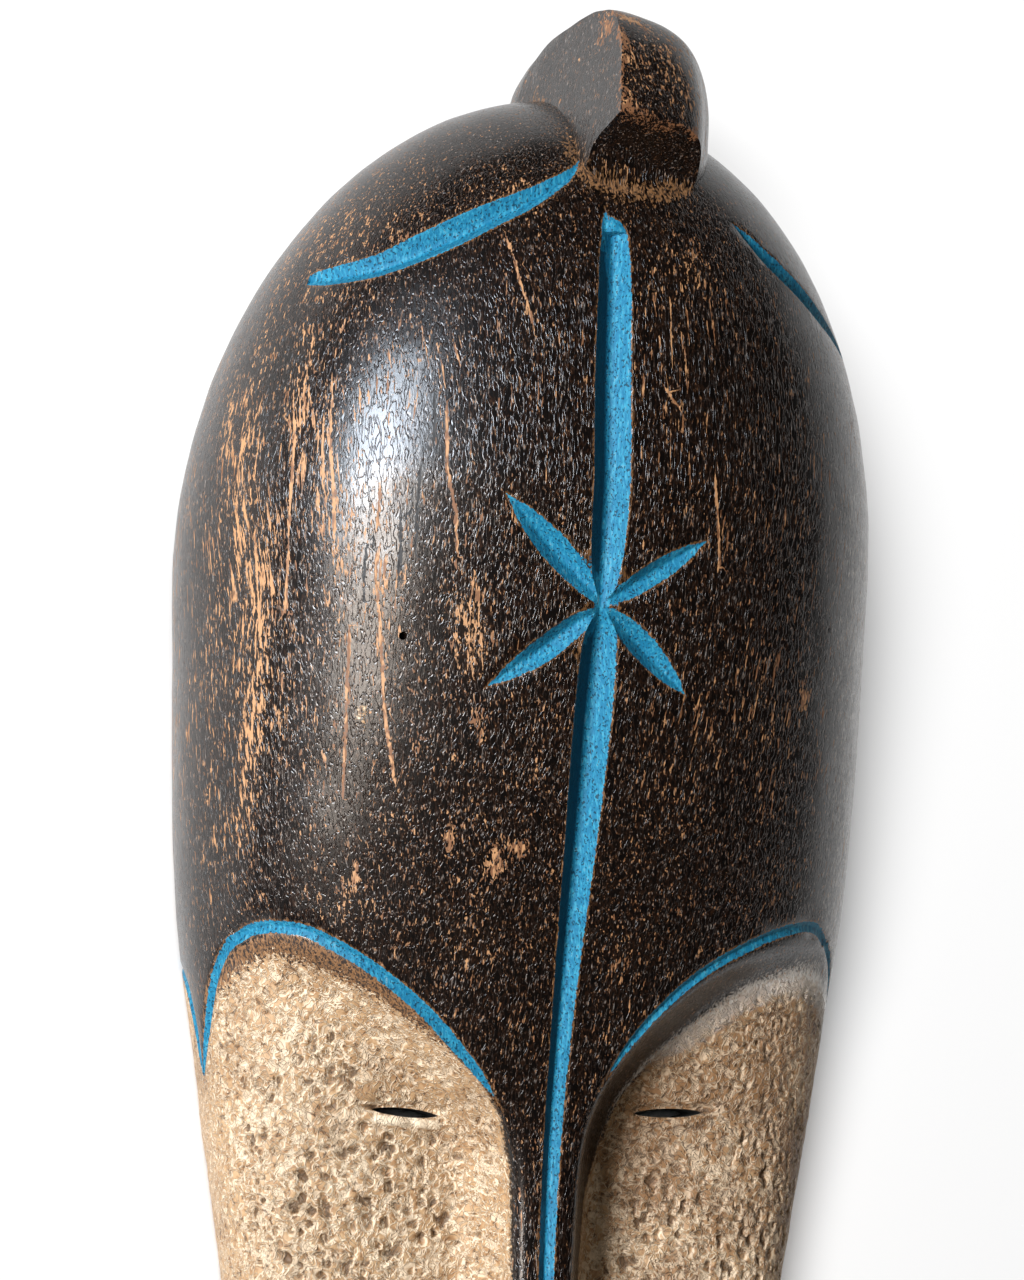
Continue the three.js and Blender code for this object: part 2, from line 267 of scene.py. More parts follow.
def unrolled(x, y, z):
    """How far from the ridge a surface point lies, in millimetres along its cross-section."""
    width, level = np.maximum(half_width(y), 0.01), widest_level(y)
    across = np.abs(x - lean(y)) / width
    up = np.maximum(z + face_sunk(x, y) - level, 0) / np.maximum(ridge_height(y) - level, 0.01)
    front = np.arctan2(across ** (SECTION_POWER / 2), up ** (SECTION_POWER / 2)) * 2 / math.pi
    turn = np.where(z < level - 0.001, 1 + clamp01((level - z) / level), front)
    turn = np.where((z < level) & (across < 0.8), front, turn)
    return around(y, np.sign(x - lean(y)) * turn)


def noise(x, y, size, seed):
    """A smooth random field between -1 and 1, with features about size millimetres across."""
    count = 97
    grid = np.random.default_rng(seed).uniform(-1, 1, (count, count))
    u, v = x / size + 400, y / size + 400
    i, j = np.floor(u).astype(int), np.floor(v).astype(int)
    s, t = ease(u - i), ease(v - j)
    low = grid[i % count, j % count] * (1 - s) + grid[(i + 1) % count, j % count] * s
    high = grid[i % count, (j + 1) % count] * (1 - s) + grid[(i + 1) % count, (j + 1) % count] * s
    return low * (1 - t) + high * t


def pits(x, y, size, share, seed):
    """The depth, 0 to 1, of scattered uneven recesses, one in the given share of a grid's cells."""
    count = 101
    rng = np.random.default_rng(seed)
    place_x, place_y = rng.random((2, count, count))
    radius = rng.uniform(0.3, 0.55, (count, count)) * size
    squash = rng.uniform(0.75, 1.35, (count, count))
    depth = rng.uniform(0.45, 1, (count, count)) * (rng.random((count, count)) < share)
    x = x + noise(x, y, size * 0.4, seed + 1) * size * 0.16
    y = y + noise(x, y, size * 0.4, seed + 2) * size * 0.16
    column, row = np.floor(x / size).astype(int), np.floor(y / size).astype(int)
    deepest = np.zeros_like(x)
    for i in (-1, 0, 1):
        for j in (-1, 0, 1):
            at = ((column + i) % count, (row + j) % count)
            away_x = x - (column + i + place_x[at]) * size
            away_y = y - (row + j + place_y[at]) * size
            away = np.hypot(away_x * squash[at], away_y / squash[at]) / radius[at]
            deepest = np.maximum(deepest, depth[at] * ease((1 - away) / 0.45))
    return deepest


def on_front(*stations):
    """Stations (x, y, width) of a groove as (s, y, width)."""
    x, y, width = np.array(stations, float).T
    return np.stack([around(y, turn_over(x, y)), y, width], 1)


def on_side(side, *stations):
    """Stations (turn, y, width) of a groove on the side wall as (s, y, width)."""
    turn, y, width = np.array(stations, float).T
    return np.stack([around(y, side * turn), y, width], 1)


def groove_lines():
    """The blue grooves as stations (s, y, width), first the long ones and then the arms of the star."""
    forehead = on_front(
        (1.2, 247, 6.5), (0.8, 239, 8.2), (0, 215, 9.3), (0.2, 180, 9.6), (0.2, 168, 8.8), (0, 160.5, 7),
        (*STAR, 4.2), (0, 148.5, 7.6), (0, 143, 9.2), (-0.2, 126, 9.8), (-0.4, 92, 8.1), (-0.3, 48, 5.5),
        (0, 0, 4.4), (0, -60, 4), (0, -160, 3.4), (0, -168, 0))
    prong = on_front((-0.6, 253.6, 0), (-0.9, 250, 1.8), (-0.6, 246, 3.6), (0, 242, 3.4))
    arms = [
        on_front((0, 154.5, 2.6), (-5, 159.3, 5.6), (-13, 167, 7.4), (-20, 173.8, 5.2), (-26.6, 180.4, 0)),
        on_front((0, 154.5, 1.8), (6, 158, 4.6), (13, 162.6, 5.6), (20, 167.2, 4.2), (26.8, 171.6, 0)),
        on_front((0, 153, 2.4), (-6, 149.4, 5.2), (-13, 143.6, 6.4), (-20.5, 138.2, 4.6), (-28, 133, 0)),
        on_front((0, 153.5, 2), (6, 149, 5.6), (11.6, 144.2, 6.8), (18, 138.4, 4.8), (24, 133, 0)),
    ]
    crown = [
        on_front(
            (-5.6, 265.8, 0.6), (-9.5, 261.2, 2.8), (-20, 254.4, 5.4), (-29, 249.9, 6.7), (-38, 245.3, 7.5),
            (-47, 240.8, 7.2), (-55, 237.2, 6.2), (-62, 235.8, 5.4), (-66, 235.3, 4.6), (-68.8, 235.2, 2.8)),
        on_front(
            (34.8, 252.8, 0.6), (39, 249.3, 2.8), (45, 244.5, 4.5), (57, 236.8, 4.9), (63, 232.7, 4.7),
            (68.3, 229.2, 4), (73, 225.4, 2.4), (76.5, 222.5, 0)),
    ]
    bend_left = on_side(
        -1, (0.607, 74.9, 3.4), (0.672, 74.2, 3.6), (0.718, 72.3, 3.7), (0.748, 70.9, 3.8),
        (0.769, 69.2, 3.8), (0.794, 66.7, 3.9), (0.819, 63.9, 4), (0.85, 59.6, 4.1), (0.88, 54.7, 4.1),
        (0.913, 49.5, 4), (0.955, 43.5, 3.1), (0.985, 38.5, 1.4))
    bend_right = on_side(
        1, (0.75, 71.8, 3), (0.82, 65, 3), (0.88, 57, 2.9), (0.92, 50, 2.6), (0.955, 43, 2),
        (0.985, 38.5, 0.8))
    brow_left = on_front(
        (-13, 30.4, 0), (-19.8, 39.3, 2.1), (-26.6, 46.6, 2.9), (-33.6, 53.6, 3.2), (-41.9, 60.4, 3.3),
        (-50.3, 66.3, 3.4), (-58.1, 70.8, 3.4), (-64.5, 73.9, 3.3))
    brow_right = on_front(
        (11, 36, 0), (18, 47.5, 2.2), (26, 57, 2.7), (35.5, 65.3, 2.9), (46, 71.6, 3), (56, 76.1, 3),
        (65, 78.6, 3), (71.5, 78.6, 3))
    brows = [np.concatenate([brow_left, bend_left]), np.concatenate([brow_right, bend_right])]
    second_leg = (
        (0.99, 39.5, 1.4), (1, 45, 3), (1.04, 51.2, 4), (1.11, 56.2, 4.1), (1.2, 60, 3.9), (1.32, 62.2, 3.6),
        (1.5, 64.2, 3.4), (1.75, 66, 3.2), (1.999, 67.2, 3.2))
    brows += [on_side(side, *second_leg) for side in (-1, 1)]
    return [forehead, *crown, *brows], [prong, *arms]


def path_of(stations, spacing):
    """Even places (s, y, width) along a smooth line through stations."""
    steps = np.linalg.norm(np.diff(stations[:, :2], axis=0), axis=1)
    length = np.concatenate([[0], np.cumsum(steps)])
    at = np.linspace(0, length[-1], max(int(length[-1] / spacing), 8) + 1)
    path = np.stack([smooth(np.stack([length, column], 1))(at) for column in stations.T], 1)
    path[:, 2] = np.maximum(path[:, 2], 0)
    return path


def frame_along(path):
    """Points on the wood along a path, with the way out of it and the way across the path at each."""
    def at(s, y):
        point = section(y, turn_of(y, s))
        point[:, 2] -= face_sunk(point[:, 0], point[:, 1])
        return point

    s, y = path[:, 0], path[:, 1]
    points = at(s, y)
    out = np.cross(at(s + 0.4, y) - at(s - 0.4, y), at(s, y + 0.4) - at(s, y - 0.4))
    out /= np.linalg.norm(out, axis=1, keepdims=True)
    along = np.gradient(points, axis=0)
    across = np.cross(along, out)
    across /= np.linalg.norm(across, axis=1, keepdims=True)
    return points, out, across


def in_scene(item):
    bpy.context.scene.collection.objects.link(item)
    return item


def lofted(name, rings):
    """A closed solid through rings of equal, even length. Both end rings are filled with strips across."""
    rings = np.asarray(rings, float)
    index = np.arange(rings.shape[0] * rings.shape[1]).reshape(rings.shape[:2])
    following = np.roll(index, -1, axis=1)
    faces = np.stack([index[:-1], following[:-1], following[1:], index[1:]], -1).reshape(-1, 4).tolist()
    for ring in (index[0], index[-1]):
        faces += [(ring[i], ring[i + 1], ring[-2 - i], ring[-1 - i]) for i in range(len(ring) // 2 - 1)]
    mesh = bpy.data.meshes.new(name)
    mesh.from_pydata((rings.reshape(-1, 3) * MM).tolist(), [], faces)
    work = bmesh.new()
    work.from_mesh(mesh)
    bmesh.ops.recalc_face_normals(work, faces=work.faces)
    work.to_mesh(mesh)
    work.free()
    return in_scene(bpy.data.objects.new(name, mesh))


def joined(name, solids):
    """One object of several solids."""
    work = bmesh.new()
    for solid in solids:
        work.from_mesh(solid.data)
        bpy.data.objects.remove(solid)
    mesh = bpy.data.meshes.new(name)
    work.to_mesh(mesh)
    work.free()
    return in_scene(bpy.data.objects.new(name, mesh))


def apply_modifiers(piece):
    shaped = bpy.data.meshes.new_from_object(piece.evaluated_get(bpy.context.evaluated_depsgraph_get()))
    piece.modifiers.clear()
    piece.data = shaped


def carve(piece, tool, operation):
    change = piece.modifiers.new(operation, "BOOLEAN")
    change.object = tool
    change.operation = operation
    change.solver = "MANIFOLD"
    apply_modifiers(piece)
    bpy.data.objects.remove(tool)


# The steps between cross-sections, with finer ones over the part of the face that has the eyes.
FINE_FROM, FINE_TO = -40, 80
FACE_STEP, FINE_STEP, FOREHEAD_STEP = 1.05, 0.66, 1.15


def body_rows():
    """Where the cross-sections are taken, from chin to crown, closer at the round ends and the eyes."""
    chin = CHIN + 60 * (1 - np.cos(np.linspace(0.01, 1, 80) * math.pi / 2))
    face = np.arange(chin[-1] + 1, FINE_FROM, FACE_STEP)
    eyes = np.arange(FINE_FROM, FINE_TO, FINE_STEP)
    forehead = np.arange(FINE_TO, FOREHEAD_AT, FOREHEAD_STEP)
    crown = FOREHEAD_AT + (CROWN - FOREHEAD_AT) * np.sin(np.linspace(0, 0.99, 120) * math.pi / 2)
    return np.concatenate([chin, face, eyes, forehead, crown])


# Clusters of deep pits in the white coat: s, y, radius.
PIT_CLUSTERS = ((-58, 40, 10), (-44, 21, 8), (-29, 19.5, 6), (-57, 14, 8), (-37, 7, 11), (-60, 0, 11),
                (-46, -6, 12), (-74, 36, 5), (-76, 22, 5), (-26, 3, 6), (62, 20, 8), (38, 8, 12),
                (58, -2, 12), (30, -14, 12))


def pit_depth(s, y):
    """The depth of the pits in the white coat, 0 to 1: scattered small ones and clusters of large ones."""
    crowded = np.zeros(s.shape)
    for at_s, at_y, radius in PIT_CLUSTERS:
        away = ((s - at_s) / radius) ** 2 + ((y - at_y) / radius) ** 2
        crowded = np.maximum(crowded, np.exp(-(away**1.5)))
    crowded = np.maximum(crowded, ease((-20 - y) / 25) * clamp01(0.25 + noise(s, y, 19, 22)))
    coarse = pits(s, y, 3.9, 0.9, 21) * clamp01(1.6 * crowded)
    small = pits(s + 40, y, 2.3, 0.6, 31) * (0.5 + 0.3 * noise(s, y, 15, 23))
    rounding = ease((around(y, 0.9) - np.abs(s)) / 9) * np.where(s > 0, 0.85, 1)
    return np.maximum(coarse, small) * ease((cream_inside(s, y) - 0.5) / 3) * rounding


def relief(s, y):
    """How far the finished surface lies under the smooth form: tool marks, and the pits of the white coat."""
    carved = 0.22 * noise(s, y, 23, 11) + 0.1 * noise(s, y, 8, 12)
    crust = np.where(s > 0, 0.13, 0.18) * noise(s, y, 2.6, 41) * ease((cream_inside(s, y) + 1) / 4)
    return carved + crust + 1.1 * pit_depth(s, y)


def beside_eyes(x, y):
    """For each eye, how far out from its middle and how far above its line a place lies."""
    for side, (eye_x, eye_y, tilt) in zip((-1, 1), EYES):
        out = x - eye_x
        yield out * side, y - eye_y - tilt * out


def lids(x, y):
    """The rise of the lids round each eye slit: a crease above that runs on outwards, a swelling below."""
    rise = np.zeros_like(x)
    for out, above in beside_eyes(x, y):
        span = ease((15 - out) / 8) * ease((out + 12) / 5)
        upper = spot((above - 1.1) / 1.3)
        lower = spot((above + 2.6) / 1.3) * ease((10 - out) / 5)
        rise += span * (1.2 * lower - 1.4 * upper)
    return rise


def painted_crease_shade(x, y):
    """Painted shade along the crease that runs on outwards from each eye slit, 0 to 1."""
    return sum(ease((15 - out) / 6) * ease((out - 6) / 2) * spot((above - 0.5) / 0.7)
               for out, above in beside_eyes(x, y))


def slit_depth(x, y, z):
    """How far under the face a point in an eye slit lies; nothing elsewhere."""
    under = form_height(x, y) - face_sunk(x, y) - z
    within = np.zeros(x.shape, bool)
    for out, above in beside_eyes(x, y):
        within |= (np.abs(out) < EYE_LENGTH / 2 + 0.3) & (np.abs(above) < EYE_HEIGHT / 2 + 0.3)
    return np.where(within, under, 0)


def white_lid(s, y):
    """The bright paint on the left eye's lower lid, 0 to 1."""
    out, above = next(beside_eyes(s + 0.4, y))
    return ease((11 - out) / 4) * ease((out + 13) / 5) * spot((above + 2.3) / 1.5)


def lips(x, y):
    """The rise of the lips, one low swelling round the mouth."""
    half_length, half_height, rise = LIPS
    out, above = (x - MOUTH[0]) / half_length, (y - MOUTH[1]) / half_height
    return rise * clamp01(1 - out**2 - above**2) ** 0.7


def body():
    walls = [np.linspace(-2, -1, 19)[:-1], np.linspace(1, 2, 19)[1:]]
    turns = np.concatenate([walls[0], np.linspace(-1, 1, 300), walls[1]])
    y, turn = np.meshgrid(body_rows(), turns, indexing="ij")
    points = section(y, turn)
    x = points[..., 0]
    front = np.abs(turn) <= 1
    points[..., 2] -= np.where(front, face_sunk(x, y), 0)
    points[..., 2] += lips(x, y)
    points[..., 2] += np.where(front, lids(x, y), 0)
    out = np.cross(np.gradient(points, axis=1), np.gradient(points, axis=0))
    out /= np.maximum(np.linalg.norm(out, axis=-1, keepdims=True), 1e-9)
    fade = ease((2 - np.abs(turn)) / 0.25) * ease((y - CHIN) / 6) * ease((CROWN - y) / 6)
    depth = relief(around(y, turn), y) * fade
    return lofted("carved_wood", points - out * depth[..., None])


def unit(vector):
    return vector / np.linalg.norm(vector)


# The topknot's facets, by three corners of its front: the lip's two ends and the foot of the left edge.
LIP_LEFT, LIP_RIGHT, FOOT = np.array([(-0.1, 275.2, 104), (21.6, 271.4, 99.5), (-5.9, 266, 88.05)])
FLANK_BACK = np.array((-7.73, 286.72, 57.65))
FLANK_FACING = unit(np.cross(FOOT - FLANK_BACK, LIP_LEFT - FLANK_BACK))
FLANK_FACING *= -np.sign(FLANK_FACING[0])
UNDERCUT_FACING = unit(np.cross(LIP_RIGHT - LIP_LEFT, FOOT - LIP_LEFT))
UNDERCUT_FACING *= -np.sign(UNDERCUT_FACING[1])


def facet_cutter(corner, along, out, profile):
    """A solid outside a facet, swept along its edge; the profile is (down the facet, out of it)."""
    down = np.cross(along, out)
    down *= -np.sign(down[2])
    at = np.linspace(-85, 60, 97)[:, None]
    rings = []
    for t, rise in profile + [(t, rise + 40) for t, rise in profile[::-1]]:
        rings.append(corner + along * at + down * t + out * rise)
    rings = np.stack(rings, 1)
    wobble = 0.14 * noise(rings[..., 0] + rings[..., 2], rings[..., 1], 6, 52)
    return lofted("facet", rings + out * wobble[..., None])


# The topknot's block in sections at rising heights: z, left, right, low, high, power.
KNOT = np.array([
    (20, -9, 30, 240, 280, 2.6), (35, -11, 34, 240, 298, 2.6), (50, -10, 36, 245, 304.5, 2.6),
    (65, -10, 34, 250, 304.5, 2.7), (80, -10, 30.8, 254, 304.5, 2.8), (88, -9.5, 27, 256.5, 302, 2.8),
    (95.6, -9, 24, 258, 293, 2.7), (100.6, -8, 20.5, 259, 283, 2.6), (104, -6.5, 15, 260, 276, 2.4),
    (106, -4, 9, 262, 271, 2.2)])
KNOT_MIDDLE = 13
KNOT_SHEAR = 0.28  # how much lower its right side sits per millimetre
KNOT_SHOULDER, KNOT_TOP = 92, 106


def knot_block():
    """The topknot before its facets are cut."""
    angle = np.linspace(0, 2 * math.pi, 201)[1:]
    cos, sin = np.cos(angle), np.sin(angle)
    curves = [smooth(KNOT[:, [0, i]]) for i in range(1, 6)]
    rounding = np.sin(np.linspace(0, 1, 34)[1:] * math.pi / 2)
    shoulder = KNOT_SHOULDER + (KNOT_TOP - KNOT_SHOULDER) * rounding
    rings = []
    for z in [*np.linspace(KNOT[0, 0], KNOT_SHOULDER, 60), *shoulder]:
        left, right, low, high, power = (float(curve(z)) for curve in curves)
        centre = min(KNOT_MIDDLE, (left + right) / 2 + 4)
        reach = np.where(cos > 0, right - centre, centre - left)
        x = centre + reach * np.sign(cos) * np.abs(cos) ** (2 / power)
        up = np.sign(sin) * np.abs(sin) ** (2 / power)
        y = (low + high) / 2 + (high - low) / 2 * up - KNOT_SHEAR * (x - centre) * (0.5 + 0.5 * up)
        rings.append(np.stack([x, y, np.full_like(x, z)], 1))
    rings = np.array(rings)
    wobble = 0.25 * noise(rings[..., 0] + rings[..., 2], rings[..., 1], 7, 51)
    out = rings - rings.mean(axis=1, keepdims=True)
    out /= np.maximum(np.linalg.norm(out, axis=-1, keepdims=True), 1)
    return lofted("topknot", rings + out * wobble[..., None])


def topknot():
    """The block with its two facets: a straight flank on the left and a front that is cut under."""
    knot = knot_block()
    flank = [(t, 0.3 * (1 - (t / 40) ** 2)) for t in np.linspace(-60, 60, 25)]
    carve(knot, facet_cutter(LIP_LEFT, unit(LIP_LEFT - FOOT), FLANK_FACING, flank), "DIFFERENCE")
    undercut = [(-14, 0), (-5, 0), (0, 0), (5, 0), (9.5, 0.1), (12.3, 0.9), (14, 2.75), (16.1, 6.1),
                (18.2, 9.5), (22.5, 16.3)]
    carve(knot, facet_cutter(LIP_LEFT, unit(LIP_RIGHT - LIP_LEFT), UNDERCUT_FACING, undercut), "DIFFERENCE")
    return knot


def hollow_size(y):
    """Half the hollow's width and its height over the middle line."""
    width = HOLLOW_ACROSS * half_width(MIDDLE + (y - MIDDLE) / HOLLOW_ALONG)
    crown = round_over(y, HOLLOW_HIGH - HOLLOW_ROUND, HOLLOW_HIGH, power=2.4)
    chin = round_over(y, HOLLOW_LOW + HOLLOW_ROUND, HOLLOW_LOW, power=2.4)
    return width, hollow_depth(y) * (crown * chin)


def hollow():
    """A half dome under the same outline, with the shallow scallops of a gouge."""
    steps = np.cos(np.linspace(0.01, 0.99, 190) * math.pi)
    y = (HOLLOW_LOW + HOLLOW_HIGH) / 2 - (HOLLOW_HIGH - HOLLOW_LOW) / 2 * steps
    width, top = hollow_size(y)
    angle = np.linspace(-0.5, 0.5, 90) * math.pi
    x = width[:, None] * np.sign(angle) * np.abs(np.sin(angle)) ** (2 / HOLLOW_POWER)
    z = top[:, None] * np.maximum(np.cos(angle), 0) ** (2 / HOLLOW_POWER)
    scallops = -0.6 * np.abs(np.sin(x / 9 + 0.8 * noise(x, y[:, None], 30, 61))) * clamp01(z / 12)
    scallops = scallops + 0.35 * noise(x, y[:, None], 11, 62) * clamp01(z / 12)
    z = np.maximum(z + scallops, 0)
    arch = np.stack([x, np.broadcast_to(y[:, None], x.shape), z], -1)
    feet = arch[:, [0, -1]] * (1, 1, 0) + (0, 0, -4)
    return lofted("hollow", np.concatenate([feet[:, :1], arch, feet[:, 1:]], axis=1))


def hollow_height(x, y):
    """Height of the hollow's roof over a point of the plan."""
    width, top = hollow_size(y)
    share = clamp01(np.abs(x) / np.maximum(width, 0.01))
    within = (np.abs(x) < width) & (y > HOLLOW_LOW) & (y < HOLLOW_HIGH)
    return np.where(within, top * (1 - share**HOLLOW_POWER) ** (1 / HOLLOW_POWER), -9)


def bored(x, y, length, height, low, high, tilt=0, sides=40, power=1.4):
    """A straight hole, pointed at both ends by a power over 1; tilt is its rise over its run."""
    angle = np.linspace(0, 2 * math.pi, sides + 1)[1:]
    across = np.sin(angle)
    out = length / 2 * np.cos(angle)
    ring = np.stack([x + out, y + tilt * out + height / 2 * np.sign(across) * np.abs(across) ** power], 1)
    return lofted("hole", [np.column_stack([ring, np.full(sides, z)]) for z in (low, high)])


def groove_cutter(stations):
    """A V-shaped cutter with a rounded bottom, along a line on the wood."""
    path = path_of(stations, 1.1)
    points, out, across = frame_along(path)
    width = np.maximum(path[:, 2], 0.35)[:, None]
    depth = GROOVE_DEPTH * width * (0.4 + 0.6 * clamp01(width / 8))
    lift = 1.5
    mouth = (width / 2) * (1 + lift / depth)
    half = [(0.03, 0.95), (0.1, 0.88), (0.2, 0.68)]
    profile = [(-mouth, lift)] + [(-width * a, -depth * b) for a, b in half[::-1]]
    profile += [(width * a, -depth * b) for a, b in half] + [(mouth, lift)]
    return lofted("groove", np.stack([points + across * a + out * b for a, b in profile], 1))


# The whitened face's outline as x, y: up each side of the nose and under the brow.
CREAM_BROWS = (
    ((-9.6, NOSE_END), (-8.6, -120), (-8, -60), (-8.2, -10), (-9, 7), (-10, 17), (-13.4, 29), (-19.8, 38.4),
     (-28.4, 45.9), (-37.2, 52.3), (-47.2, 58.6), (-57.2, 63.8), (-64, 66.4), (-70.4, 68.3), (-75.4, 65.6)),
    ((13.5, NOSE_END), (13, -120), (12.4, -60), (12.4, -10), (13.8, 10), (17.4, 22), (21.9, 34.6), (28, 43.4),
     (36, 50.6), (44, 56.4), (52.4, 62), (61.4, 65.2), (69, 66.6), (74.4, 66)))
# On round each temple to the rim, as turn, y.
CREAM_TEMPLE = ((0.82, 59), (0.87, 52), (0.93, 44), (0.985, 37), (1.02, 42), (1.06, 48), (1.13, 53),
                (1.22, 57), (1.34, 59.3), (1.52, 61.4), (1.77, 63.3), (2, 64.4))


def cream_outline(side, brow):
    """One side of the whitened face's outline on the unrolled form, from the nose's foot to the rim."""
    front = on_front(*[(*corner, 0) for corner in brow])
    wall = on_side(side, *[(*corner, 0) for corner in CREAM_TEMPLE])
    return np.concatenate([front, wall])[:, :2]


def inside_polygon(x, y, corners):
    inside = np.zeros(x.shape, bool)
    for (x0, y0), (x1, y1) in zip(corners, np.roll(corners, -1, axis=0)):
        if y0 == y1:
            continue
        crosses = (y0 > y) != (y1 > y)
        inside ^= crosses & (x < x0 + (y - y0) / (y1 - y0) * (x1 - x0))
    return inside


def distance_to_line(place, line):
    """How far places lie from a line through points, in the plane or in space."""
    nearest = np.full(place.shape[:-1], 1e9)
    for start, end in zip(line, line[1:]):
        start, step = np.array(start, float), np.subtract(end, start)
        along = clamp01((place - start) @ step / (step @ step))
        nearest = np.minimum(nearest, np.linalg.norm(place - start - along[..., None] * step, axis=-1))
    return nearest


CREAM_LEFT, CREAM_RIGHT = (cream_outline(side, brow) for side, brow in zip((-1, 1), CREAM_BROWS))
NOSE_FOOT = np.array([(-9.6, NOSE_END), (-5, NOSE_END - 2.5), (7, NOSE_END - 2.5), (13.5, NOSE_END)])


def cream_inside(s, y):
    """Distance into the whitened face, negative on the dark wood."""
    (left_s, left_y), (right_s, right_y) = CREAM_LEFT[-1], CREAM_RIGHT[-1]
    beyond = [(right_s + 60, right_y), (400, 500), (-400, 500), (left_s - 60, left_y)]
    line = np.concatenate([CREAM_LEFT[::-1], NOSE_FOOT, CREAM_RIGHT])
    away = distance_to_line(np.stack([s, y], -1), line)
    return np.where(inside_polygon(s, y, np.concatenate([line, beyond])), -away, away)


GROOVES, STAR_ARMS = groove_lines()


def left_wall(s, y):
    """How far up the long groove's left wall a place lies: 0 at the bottom, 1 at the rim, 0 elsewhere."""
    path = path_of(GROOVES[0], 1.0)[::-1]
    centre, width = (np.interp(y, path[:, 1], column) for column in (path[:, 0], path[:, 2]))
    side = (centre - s) * 2 / np.maximum(width, 1)
    return clamp01(side) * (side < 1.6) * (np.abs(y - STAR[1]) > 3) * (paint_inside(s, y, STAR_ARMS) < -1.6)


def paint_inside(s, y, lines):
    """Distance into the blue paint of the given grooves, negative outside it."""
    inside = np.full(s.shape, -9.0)
    for stations in lines:
        path = path_of(stations, 1.0)
        low, high = path[:, :2].min(axis=0) - 9, path[:, :2].max(axis=0) + 9
        near = np.flatnonzero((s > low[0]) & (s < high[0]) & (y > low[1]) & (y < high[1]))
        for part in np.array_split(near, max(len(near) // 4000, 1)):
            ds = s[part, None] - path[:, 0]
            dy = y[part, None] - path[:, 1]
            inside[part] = np.maximum(inside[part], (path[:, 2] / 2 - np.hypot(ds, dy)).max(axis=1))
    return inside


def carved_mask():
    mask = body()
    carve(mask, topknot(), "UNION")
    cuts = [groove_cutter(stations) for stations in GROOVES]
    cuts += [bored(x, y, EYE_LENGTH, EYE_HEIGHT, SLIT_LOW, SLIT_HIGH, tilt) for x, y, tilt in EYES]
    top = form_height(*HOLE)
    cuts.append(bored(*HOLE, HOLE_WIDTH, HOLE_WIDTH, top - HOLE_DEPTH, top + 4, sides=12, power=1))
    bottom = form_height(*MOUTH) - face_sunk(*MOUTH) + LIPS[2] - MOUTH_DEPTH
    cuts.append(bored(*MOUTH, MOUTH_LENGTH, MOUTH_HEIGHT, bottom, SLIT_HIGH))
    carve(mask, joined("cuts", cuts), "DIFFERENCE")
    carve(mask, joined("star", [groove_cutter(stations) for stations in STAR_ARMS]), "DIFFERENCE")
    carve(mask, hollow(), "DIFFERENCE")
    return mask


def thin_out(piece, most):
    """Merges triangles where the surface is smooth, until at most the given number is left."""
    piece.data.calc_loop_triangles()
    count = len(piece.data.loop_triangles)
    change = piece.modifiers.new("thin", "DECIMATE")
    change.ratio = most / count
    apply_modifiers(piece)


def curvature(mesh, place):
    """How sharply each vertex stands out from its neighbours, per millimetre, evened out a little."""
    count = len(place)
    normals = np.empty(count * 3, np.float32)
    mesh.vertices.foreach_get("normal", normals)
    edges = np.empty(len(mesh.edges) * 2, np.int32)
    mesh.edges.foreach_get("vertices", edges)
    a, b = edges.reshape(-1, 2).T
    a, b = np.concatenate([a, b]), np.concatenate([b, a])
    step = place[a] - place[b]
    bend = (normals.reshape(-1, 3)[a] * step).sum(axis=1) / np.maximum((step**2).sum(axis=1), 0.01)
    neighbours = np.maximum(np.bincount(a, minlength=count), 1)
    bend = np.bincount(a, bend, count) / neighbours
    for _ in range(2):
        bend = 0.4 * bend + 0.6 * np.bincount(a, bend[b], count) / neighbours
    return bend


# Where the dark stain has worn most: s, y, half the breadth, half the length, how much.
WORN = ((-97, 180, 6, 26, 0.5), (-88, 157, 3.5, 26, 0.5), (-80, 155, 3, 34, 0.5), (-107, 200, 7, 14, 0.45),
        (-79, 199, 2.5, 14, 0.8), (-70, 190, 2.5, 18, 0.7), (-64, 165, 4, 22, 0.4), (-33, 154, 4, 6, 1),
        (-31, 142, 4, 9, 0.8), (-86, 118, 4, 18, 0.5), (-93, 96, 5, 16, 0.25), (-104, 130, 8, 40, 0.2),
        (-57, 81, 6, 4, 0.5), (-27, 108, 6, 8, 0.35), (-34, 184, 3, 12, 0.35), (-15, 123, 6, 10, 0.3),
        (21, 240, 8, 5, 0.4), (-21, 257, 12, 4, 0.5), (14, 220, 8, 16, 0.35), (20, 196, 7, 10, 0.3),
        (-20, 228, 10, 14, 0.25), (-40, 215, 14, 10, 0.2), (36, 150, 12, 25, 0.15), (20, 110, 10, 14, 0.2),
        (12, 70, 6, 20, 0.2), (-60, 246, 25, 8, 0.25), (-24, 70, 8, 10, 0.25))

